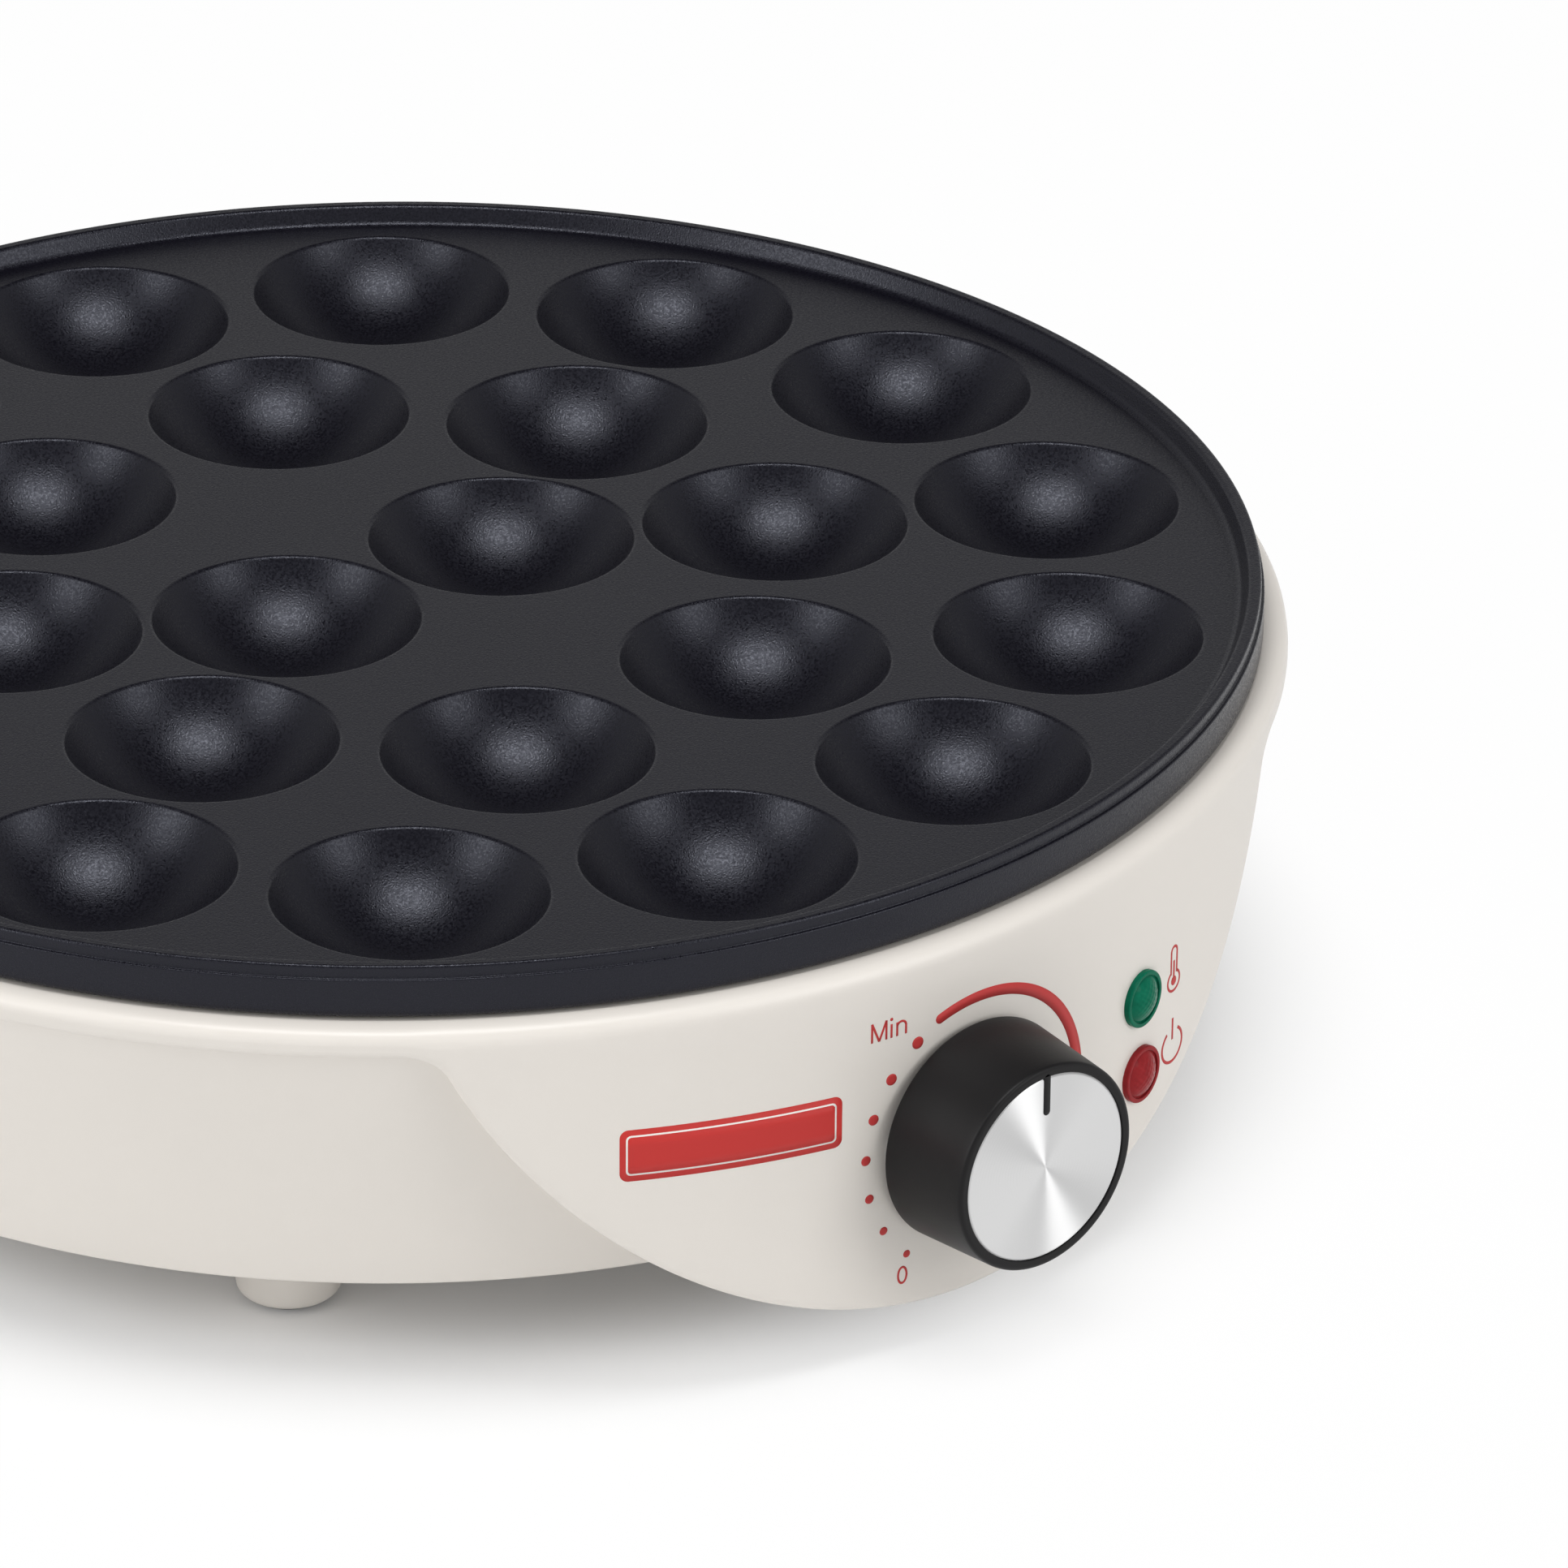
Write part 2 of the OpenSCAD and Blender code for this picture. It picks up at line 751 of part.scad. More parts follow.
module casing_holes() {
    around(boss_angles, boss_ring_r) rod(big_screw_d + 2 * fit, lug_z - past, shield_z + past);
    around(base_screw_angles, base_screw_r) {
        rod(small_screw_d + 2 * fit, base_top_z - past, base_top_z + pillar_h - past);
    }
    on_knob_axis() {
        rod(bush_d + 2 * loose, -panel_pad - past, past);
        for (s = [-1, 1]) translate([s * stat_screw_pitch / 2, 0, 0]) {
            rod(big_screw_d + 2 * fit, -panel_pad - past, past);
            rod(big_head_d + 2 * loose, head_seat, past);
        }
    }
    for (side = [-1, 1]) on_lamp(side) rod(stem_d + 2 * fit, -lamp_pad - past, past);
}

// Turns +Z into the way out of the rear wall, at the gland
module on_gland() {
    translate([0, 0, gland_z]) rotate([-90, 0, 0]) children();
}

module casing() {
    color(cream) at_axis() difference() {
        union() {
            difference() {
                rotate_extrude() drum_outline();
                casing_recess();
                rotate_extrude() casing_hollow_outline();
                panel_hollow();
            }
            casing_supports();
            on_gland() rod(gland_boss_d, gland_inner_y, gland_face_y);
        }
        casing_holes();
        on_gland() rod(gland_neck_d + 2 * fit, gland_inner_y - past, gland_face_y + past);
    }
}

// Base cover and feet

module at_foot(side, end) {
    rotate([0, 0, end + side * foot_angle]) translate([foot_r, 0, 0]) children();
}

module at_feet() {
    for (end = [front, rear], side = [-1, 1]) at_foot(side, end) children();
}

module base_cover() {
    color(cream) at_axis() difference() {
        rod(2 * base_r, base_height, base_top_z);
        around(base_screw_angles, base_screw_r) {
            rod(small_screw_d + 2 * loose, base_height - past, base_top_z + past);
        }
        at_feet() rod(spigot_d + 2 * fit, base_height - past, base_top_z + past);
        for (s = [-1, 1]) {
            translate([s * block_screw_x, block_y, 0]) {
                rod(small_screw_d + 2 * fit, base_height + blind_floor, base_top_z + past);
            }
        }
    }
}

module foot(side, end) {
    color(cream) at_axis() at_foot(side, end) difference() {
        union() {
            translate([0, 0, pad_proud]) cylinder(d1 = foot_low_d, d2 = foot_d, h = base_height - pad_proud);
            rod(spigot_d, base_height - fuse, base_top_z);
        }
        rod(pad_d + 2 * fit, pad_proud - past, pad_t);
        rod(small_screw_d + 2 * fit, base_height - foot_screw_l, base_top_z + past);
    }
}

module foot_pad(side, end) {
    color([0.25, 0.25, 0.25]) at_axis() at_foot(side, end) rod(pad_d, 0, pad_t);
}

module foot_screws() {
    color(steel) at_axis() at_feet() screw_down(small_screw_d, foot_head_d, base_top_z, foot_screw_l);
}

module base_screws() {
    color(steel) at_axis() around(base_screw_angles, base_screw_r) {
        screw_up(small_screw_d, small_head_d, base_height, base_screw_l);
    }
}

// Knob

module flatted(d, flat) {
    intersection() {
        circle(d = d);
        translate([-d, -d]) square([2 * d, d + flat]);
    }
}

module knob() {
    inner_d = knob_d - 2 * knob_wall;
    inner_top_d = knob_top_d - 2 * knob_wall;
    inner_h = knob_h - knob_top_t + past;
    color(knob_black) at_axis() on_knob_axis() {
        difference() {
            union() {
                difference() {
                    translate([0, 0, knob_gap]) cylinder(d1 = knob_d, d2 = knob_top_d, h = knob_h);
                    translate([0, 0, knob_gap - past]) cylinder(d1 = inner_d, d2 = inner_top_d, h = inner_h);
                }
                rod(hub_d, hub_back, hub_bore_end + fuse);
            }
            rod(face_d + 2 * fit, face_floor, knob_gap + knob_h + past);
            translate([0, 0, hub_back - past]) linear_extrude(height = hub_bore_end - hub_back + past) {
                flatted(shaft_d + 2 * fit, shaft_flat + spring_t + 2 * fit);
            }
        }
        block(
            [-pointer_w / 2, face_d / 2 - pointer_l, face_floor - fuse],
            [pointer_w / 2, face_d / 2 + fuse, face_floor + face_t]
        );
    }
}

module knob_face() {
    slot_w = pointer_w / 2 + fit;
    color(steel) at_axis() on_knob_axis() difference() {
        rod(face_d, face_floor, face_floor + face_t);
        block(
            [-slot_w, face_d / 2 - pointer_l - fit, face_floor - past],
            [slot_w, face_d, face_floor + face_t + past]
        );
    }
}

module knob_spring() {
    low_y = shaft_flat + fit;
    color(steel) at_axis() on_knob_axis() {
        block([-spring_w / 2, low_y, shaft_front - spring_l], [spring_w / 2, low_y + spring_t, shaft_front]);
    }
}

// Thermostat

module thermostat_shaft() {
    color(steel) at_axis() on_knob_axis() difference() {
        union() {
            rod(shaft_d, shaft_back, hub_back);
            translate([0, 0, hub_back - fuse]) linear_extrude(height = shaft_front - hub_back + fuse) {
                flatted(shaft_d, shaft_flat);
            }
            rod(collar_d, bush_back - loose - collar_t, bush_back - loose);
        }
        rod(pin_d + 2 * fit, shaft_back - past, shaft_back + pin_hole_l);
    }
}

module thermostat_body() {
    color(phenolic) at_axis() on_knob_axis() difference() {
        block([-stat_w / 2, -stat_h / 2, stat_back], [stat_w / 2, stat_h / 2, stat_front]);
        rod(bush_d + 2 * fit, bush_back, stat_front + past);
        rod(chamber_d, chamber_back, bush_back + past);
        rod(pin_d + 2 * fit, stat_back - past, chamber_back + past);
        for (s = [-1, 1]) translate([s * stat_screw_pitch / 2, 0, 0]) {
            rod(big_screw_d + 2 * fit, stat_front - bush_seat, stat_front + past);
        }
    }
}

module thermostat_plate() {
    color(steel) at_axis() on_knob_axis() difference() {
        block([-stat_w / 2 - 2, -stat_h / 2, stat_front], [stat_w / 2 + 2, stat_h / 2, -panel_pad]);
        rod(bush_d + 2 * fit, stat_front - past, past);
        for (s = [-1, 1]) translate([s * stat_screw_pitch / 2, 0, 0]) {
            rod(big_screw_d + 2 * fit, stat_front - past, past);
        }
    }
}

module thermostat_terminals() {
    color(brass) at_axis() on_knob_axis() for (s = [-1, 1]) translate([s * tab_x, -tab_drop, stat_back]) {
        block([-tab_w / 2, -tab_t / 2, -tab_l], [tab_w / 2, tab_t / 2, 0]);
    }
}

module thermostat_screws() {
    color(steel) at_axis() on_knob_axis() for (s = [-1, 1]) translate([s * stat_screw_pitch / 2, 0, 0]) {
        screw_down(big_screw_d, big_head_d, head_seat, head_seat - stat_front + bush_seat - past);
    }
}

module shaft_bush() {
    color(brass) at_axis() on_knob_axis() sleeve(bush_d, shaft_d + 2 * fit, bush_back, bush_front);
}

module adjusting_pin() {
    color(steel) at_axis() on_knob_axis() rod(pin_d, pin_back, pin_front);
}

module contact_leaf() {
    leaf_front = pin_back - leaf_gap;
    leaf_back = leaf_front - leaf_t;
    color(brass) at_axis() on_knob_axis() {
        block([-leaf_w / 2, -leaf_foot, leaf_back], [leaf_w / 2, leaf_rise, leaf_front]);
        block([-leaf_w / 2, leaf_rise - leaf_foot, leaf_back], [leaf_w / 2, leaf_rise, stat_back]);
    }
}

// Lamps

module lamp_lens(side, tint) {
    dome_base = lens_d / 2 - lens_flange_t / 2;
    dome_r = (pow(dome_base, 2) + pow(lens_dome, 2)) / (2 * lens_dome);
    color(tint) at_axis() on_lamp(side) difference() {
        union() {
            rod(lens_d, 0, lens_flange_t);
            intersection() {
                translate([0, 0, lens_flange_t + lens_dome - dome_r]) sphere(r = dome_r);
                rod(lens_d, 0, lens_flange_t + lens_dome);
            }
            rod(stem_d, -stem_l, fuse);
        }
        rod(bulb_d + 2 * loose, -stem_l - past, bulb_front + loose);
    }
}

module lamp_bulb(side) {
    color(ceramic_white) at_axis() on_lamp(side) rod(bulb_d, bulb_front - bulb_l, bulb_front);
}

module lamp_ring(side) {
    color(ceramic_white) at_axis() on_lamp(side) {
        sleeve(lamp_ring_d, stem_d + 2 * fit, -lamp_pad - lamp_ring_t, -lamp_pad);
    }
}

// Ends of the leads: a point and the way a lead leaves it
function lamp_back(side) =
    let (r = band_r + bulb_front - bulb_l - lead_gap, inwards = [-sin(lamp_angle), cos(lamp_angle), 0])
    [[r * sin(lamp_angle), -r * cos(lamp_angle), knob_z + side * lamp_pitch / 2], inwards];
tab_end_y = -band_r - stat_back + tab_l;
tab_z = knob_z - tab_drop;
function tab_side(back) = [[tab_x + tab_w / 2 + lead_gap, tab_end_y - back, tab_z], [1, 0, 0]];

module lamp_lead(side, points, back) {
    color([0.85, 0.85, 0.85]) at_axis() lead_between(lamp_back(side), points, tab_side(back), lamp_lead_d);
}

// Heating

module element_end(side) {
    rotate([0, 0, rear - side * element_open]) translate([element_r, 0, element_z]) {
        rotate([90, 0, side * 90]) translate([0, -element_bend, 0]) rotate_extrude(angle = 90) {
            translate([element_bend, 0]) circle(d = element_d);
        }
        rotate([90, 0, 0]) rod(element_d + element_gap, -element_neck / 2, element_neck / 2);
        translate([0, side * element_bend, 0]) rod(element_d, element_low_z - element_z, -element_bend);
    }
}

module heating_element() {
    color(steel) at_axis() {
        rotate([0, 0, rear + element_open]) rotate_extrude(angle = 360 - 2 * element_open) {
            translate([element_r, element_z]) circle(d = element_d);
        }
        for (side = [-1, 1]) element_end(side);
    }
}

module at_element_ends() {
    for (side = [-1, 1]) rotate([0, 0, rear - side * element_open]) {
        translate([element_r, side * element_bend, 0]) children();
    }
}

module element_beads() {
    color(ceramic_white) at_axis() at_element_ends() {
        sleeve(bead_d, element_pin_d + 2 * fit, element_low_z - bead_h, element_low_z);
    }
}

module element_pins() {
    color(steel) at_axis() at_element_ends() rod(element_pin_d, pin_end_z, element_low_z);
}

module heat_shield() {
    color(steel) at_axis() difference() {
        rod(2 * (boss_ring_r + shield_edge), shield_z, shield_top_z);
        around(boss_angles, boss_ring_r) rod(big_screw_d + 2 * fit, shield_z - past, shield_top_z + past);
        at_element_ends() rod(element_d + shield_room, shield_z - past, shield_top_z + past);
        translate([0, pocket_y, 0]) rod(cutout_d + shield_room, shield_z - past, shield_top_z + past);
        translate([0, -pocket_y, 0]) rod(capillary_d + shield_room, shield_z - past, shield_top_z + past);
        translate([0, sensor_screw_y - pocket_y, 0]) {
            rod(small_head_d + shield_room, shield_z - past, shield_top_z + past);
        }
        translate([earth_x, earth_y, 0]) rod(big_screw_d + 2 * fit, shield_z - past, shield_top_z + past);
    }
}

module plate_spacers() {
    color(ceramic_white) at_axis() around(boss_angles, boss_ring_r) {
        sleeve(spacer_d, big_screw_d + 2 * fit, shield_top_z, boss_z);
    }
}

module plate_screws() {
    color(steel) at_axis() around(boss_angles, boss_ring_r) {
        screw_up(big_screw_d, big_head_d, lug_z, plate_screw_l);
    }
}

module sensor_bulb() {
    color(brass) at_axis() translate([0, -pocket_y, 0]) {
        rod(sensor_d, sensor_low_z, sensor_low_z + sensor_l);
    }
}

module sensor_retainer() {
    color(steel) at_axis() translate([0, -pocket_y, 0]) difference() {
        block(
            [-retainer_w / 2, -sensor_boss_d / 2, sensor_low_z - retainer_t],
            [retainer_w / 2, sensor_screw_y + small_boss_d / 2, sensor_low_z]
        );
        rod(capillary_d + 2 * loose, sensor_low_z - retainer_t - past, sensor_low_z + past);
        translate([0, sensor_screw_y, 0]) {
            rod(small_screw_d + 2 * fit, sensor_low_z - retainer_t - past, sensor_low_z + past);
        }
    }
}

module sensor_screw() {
    color(steel) at_axis() translate([0, sensor_screw_y - pocket_y, 0]) {
        screw_up(small_screw_d, small_head_d, sensor_low_z - retainer_t, tapped_l);
    }
}

module capillary_tube() {
    bulb_end = [[0, -pocket_y, sensor_low_z - lead_gap], [0, 0, -1]];
    stat_end = [[-leaf_w, -band_r - stat_back + lead_gap, knob_z + leaf_rise - leaf_foot], [0, 1, 0]];
    color([0.75, 0.45, 0.30]) at_axis() lead_between(bulb_end, capillary_pts, stat_end, capillary_d);
}

module thermal_cutout() {
    flange_z = cutout_boss_z - cutout_flange_t;
    color(phenolic) at_axis() translate([0, pocket_y, 0]) difference() {
        union() {
            block(
                [-cutout_flange_w / 2, -(cutout_pitch + small_boss_d) / 2, flange_z],
                [cutout_flange_w / 2, (cutout_pitch + small_boss_d) / 2, cutout_boss_z]
            );
            rod(cutout_d, cutout_low_z, flange_z + cutout_flange_t / 2);
            for (s = [-1, 1]) {
                block(
                    [-tab_w / 2, s * cutout_tab - tab_t / 2, cutout_low_z - tab_l],
                    [tab_w / 2, s * cutout_tab + tab_t / 2, cutout_low_z + fuse]
                );
            }
        }
        for (s = [-1, 1]) translate([0, s * cutout_pitch / 2, 0]) {
            rod(small_screw_d + 2 * fit, flange_z - past, cutout_boss_z + past);
        }
    }
}

module cutout_screws() {
    color(steel) at_axis() for (s = [-1, 1]) translate([0, pocket_y + s * cutout_pitch / 2, 0]) {
        screw_up(small_screw_d, cutout_head_d, cutout_boss_z - cutout_flange_t, tapped_l);
    }
}

// Wiring

module terminal_block() {
    color(ceramic_white) at_axis() translate([0, block_y, base_top_z]) difference() {
        translate([-block_size[0] / 2, -block_size[1] / 2, 0]) cube(block_size);
        for (s = [-1, 1]) translate([s * block_screw_x, 0, 0]) {
            rod(small_screw_d + 2 * fit, -past, block_size[2] + past);
        }
    }
}

module block_screws() {
    color(steel) at_axis() for (s = [-1, 1]) translate([s * block_screw_x, block_y, 0]) {
        screw_down(small_screw_d, small_head_d, base_top_z + block_size[2], block_screw_l);
    }
}

module earth_screw() {
    color(brass) at_axis() translate([earth_x, earth_y, 0]) {
        screw_down(big_screw_d, big_head_d, shield_top_z, shield_t + 2 * earth_nut_h);
    }
}

module earth_nut() {
    color(brass) at_axis() translate([earth_x, earth_y, 0]) difference() {
        translate([0, 0, shield_z - earth_nut_h]) cylinder(d = earth_nut_d, h = earth_nut_h, $fn = 6);
        rod(big_screw_d + 2 * fit, shield_z - earth_nut_h - past, shield_z + past);
    }
}

module cord_gland() {
    color(knob_black) at_axis() on_gland() difference() {
        union() {
            rod(gland_neck_d, gland_inner_y - gland_flange_t, gland_face_y + gland_flange_t);
            rod(gland_flange_d, gland_face_y, gland_face_y + gland_flange_t);
            rod(gland_flange_d, gland_inner_y - gland_flange_t, gland_inner_y);
        }
        rod(gland_bore, gland_inner_y - gland_flange_t - past, gland_face_y + gland_flange_t + past);
    }
}

function block_end(pole) = [[pole * block_poles, block_front_y - lead_gap, block_lead_z], [0, -1, 0]];
function tab_end(side) = [[side * tab_x, tab_end_y + lead_gap, tab_z], [0, 1, 0]];
function cutout_end(side) = [[0, pocket_y + side * cutout_tab, cutout_low_z - tab_l - lead_gap], [0, 0, -1]];
function element_pin_end(side) =
    let (a = rear - element_open)
    let (x = element_r * cos(a) - element_bend * sin(a), y = element_r * sin(a) + element_bend * cos(a))
    [[side * x, y, pin_end_z - lead_gap], [0, 0, -1]];

module live_lead() {
    color([0.45, 0.28, 0.18]) at_axis() lead_between(block_end(1), live_lead_pts, tab_end(1), lead_d);
}

module load_lead() {
    color([0.15, 0.15, 0.15]) at_axis() lead_between(tab_end(-1), load_lead_pts, cutout_end(-1), lead_d);
}

module element_lead() {
    color([0.15, 0.15, 0.15]) at_axis() {
        lead_between(cutout_end(1), element_lead_pts, element_pin_end(1), lead_d);
    }
}

module neutral_lead() {
    color([0.20, 0.35, 0.70]) at_axis() {
        lead_between(block_end(-1), neutral_lead_pts, element_pin_end(-1), lead_d);
    }
}

module earth_lead() {
    earth_end = [[earth_x, earth_y, shield_z - 2 * earth_nut_h - lead_gap], [0, 0, -1]];
    color([0.35, 0.60, 0.25]) at_axis() lead_between(block_end(0), earth_lead_pts, earth_end, lead_d);
}

cooking_plate();
casing();
base_cover();
foot(-1, front);  // foot_front_left
foot(1, front);  // foot_front_right
foot(1, rear);  // foot_rear_left
foot(-1, rear);  // foot_rear_right
foot_pad(-1, front);  // foot_pad_front_left
foot_pad(1, front);  // foot_pad_front_right
foot_pad(1, rear);  // foot_pad_rear_left
foot_pad(-1, rear);  // foot_pad_rear_right
foot_screws();
base_screws();
knob();
knob_face();
knob_spring();
thermostat_shaft();
thermostat_body();
thermostat_plate();
thermostat_terminals();
thermostat_screws();
shaft_bush();
adjusting_pin();
contact_leaf();
lamp_lens(1, [0.05, 0.34, 0.23]);  // heat_lamp_lens
lamp_bulb(1);  // heat_lamp_bulb
lamp_ring(1);  // heat_lamp_ring
lamp_lead(1, heat_lamp_lead_pts, lamp_tabs[0]);  // heat_lamp_lead
lamp_lens(-1, [0.58, 0.22, 0.22]);  // power_lamp_lens
lamp_bulb(-1);  // power_lamp_bulb
lamp_ring(-1);  // power_lamp_ring
lamp_lead(-1, power_lamp_lead_pts, lamp_tabs[1]);  // power_lamp_lead
heating_element();
element_beads();
element_pins();
heat_shield();
plate_spacers();
plate_screws();
sensor_bulb();
sensor_retainer();
sensor_screw();
capillary_tube();
thermal_cutout();
cutout_screws();
terminal_block();
block_screws();
earth_screw();
earth_nut();
cord_gland();
live_lead();
load_lead();
element_lead();
neutral_lead();
earth_lead();
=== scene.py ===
"""Looks of a round mini pancake maker, dressed over its packed construction.

Lengths are in metres in the part's own frame: +Z is up, the knob faces -Y and the pads stand on z = 0.
"""

import json
import logging
from dataclasses import dataclass, field, replace
from enum import Enum
from math import radians
from typing import Optional, Sequence

import bpy
import numpy as np
from mathutils import Matrix, Vector, geometry


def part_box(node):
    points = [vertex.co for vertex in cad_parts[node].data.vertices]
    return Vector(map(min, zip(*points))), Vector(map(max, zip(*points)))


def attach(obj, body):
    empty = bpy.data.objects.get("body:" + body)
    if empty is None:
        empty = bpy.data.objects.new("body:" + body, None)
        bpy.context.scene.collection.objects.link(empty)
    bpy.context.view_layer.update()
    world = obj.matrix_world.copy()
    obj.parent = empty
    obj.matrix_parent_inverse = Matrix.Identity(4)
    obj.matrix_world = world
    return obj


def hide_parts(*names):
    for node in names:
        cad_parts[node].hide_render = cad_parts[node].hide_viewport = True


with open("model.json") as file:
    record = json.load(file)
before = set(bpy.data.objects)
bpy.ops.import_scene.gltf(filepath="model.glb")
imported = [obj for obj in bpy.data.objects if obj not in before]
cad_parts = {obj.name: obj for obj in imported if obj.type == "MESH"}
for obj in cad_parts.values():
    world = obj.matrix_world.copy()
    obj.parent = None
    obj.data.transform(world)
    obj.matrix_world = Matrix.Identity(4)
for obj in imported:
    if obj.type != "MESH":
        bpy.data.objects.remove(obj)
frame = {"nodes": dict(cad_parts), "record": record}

LOG = logging.getLogger("pancake_maker")
MM = 0.001
WELD = 1e-7
STRAIGHT = (0.08, 0.5, 0.92)
COAT_ROUGHNESS = 0.12
QUARTER_TURN = 0.25
Array = np.ndarray
Pair = tuple[float, float]
Colour = tuple[float, float, float]


class Body(Enum):
    """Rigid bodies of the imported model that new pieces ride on."""

    CHASSIS = "chassis"
    KNOB = "knob"


class Slot(Enum):
    """Material slots of the record, one named with each new piece."""

    PLATE = "nonstick_plate"
    CREAM = "cream_plastic"
    PAD = "pad_rubber"
    KNOB = "knob_plastic"
    SPUN = "spun_metal"
    GREEN = "green_lens"
    RED = "red_lens"
    GLAND = "gland_rubber"


def grid_quads(rows: int, cols: int, around: bool) -> Array:
    """Lists the four-sided faces of a grid of points.

    Args:
        rows: Number of rows of points.
        cols: Number of points in each row.
        around: True where the last column joins the first.

    Returns:
        Corner indexes, one face to a row.
    """
    row, col = np.meshgrid(np.arange(rows - 1), np.arange(cols if around else cols - 1), indexing="ij")
    after = (col + 1) % cols
    low, high = row * cols, (row + 1) * cols
    return np.stack([low + col, low + after, high + after, high + col], -1).reshape(-1, 4)


def circle(segments: int) -> Array:
    """Gives points on the unit circle, (cos a, sin a) at equal angles a, one to a row."""
    angle = np.linspace(0, 2 * np.pi, segments, endpoint=False)
    return np.stack([np.cos(angle), np.sin(angle)], -1)


def smooth(t: Array) -> Array:
    """Eases from 0 to 1 along t, as 3 t squared less 2 t cubed, and holds still outside."""
    t = np.clip(t, 0, 1)
    return t * t * (3 - 2 * t)


def eased(count: int) -> Array:
    """Gives places from 0 to 1 that lie closer at both ends, as (1 - cos a) / 2 for a up to half a turn."""
    return (1 - np.cos(np.linspace(0, np.pi, count))) / 2


def rounded(corners: Array, reach: Array, steps: int = 6, along: Sequence[float] = STRAIGHT) -> Array:
    """Rounds the inner corners of open outlines.

    A corner becomes the quadratic curve that leaves the outline a reach before it and joins it again a reach
    after it, with the corner as middle handle. A few points on each straight keep its shading flat.

    Args:
        corners: Corners of the outlines, shape (..., k, 2).
        reach: Reach at each corner, shape (..., k), or (..., k, 2) for the sides before and after it.
        steps: Points along each curve.
        along: Places of the extra points on a straight, from 0 to 1.

    Returns:
        Points of the rounded outlines, shape (..., n, 2).
    """
    if reach.ndim < corners.ndim:
        reach = np.stack([reach, reach], -1)
    sides = np.diff(corners, axis=-2)
    way = sides / np.maximum(np.linalg.norm(sides, axis=-1, keepdims=True), 1e-9)
    middle = corners[..., 1:-1, :]
    start = middle - reach[..., 1:-1, :1] * way[..., :-1, :]
    end = middle + reach[..., 1:-1, 1:] * way[..., 1:, :]
    t = np.linspace(0, 1, steps)[:, None]
    leaving, joining = (1 - t) ** 2 * start[..., None, :], t**2 * end[..., None, :]
    bend = leaving + 2 * t * (1 - t) * middle[..., None, :] + joining
    tails = np.concatenate([corners[..., :1, :], end], -2)[..., None, :]
    heads = np.concatenate([start, corners[..., -1:, :]], -2)[..., None, :]
    straight = tails + (heads - tails) * np.array(along).reshape(-1, 1)
    run = np.concatenate([straight[..., :-1, :, :], bend], -2)
    run = run.reshape(*run.shape[:-3], -1, 2)
    return np.concatenate([corners[..., :1, :], run, straight[..., -1, :, :], corners[..., -1:, :]], -2)


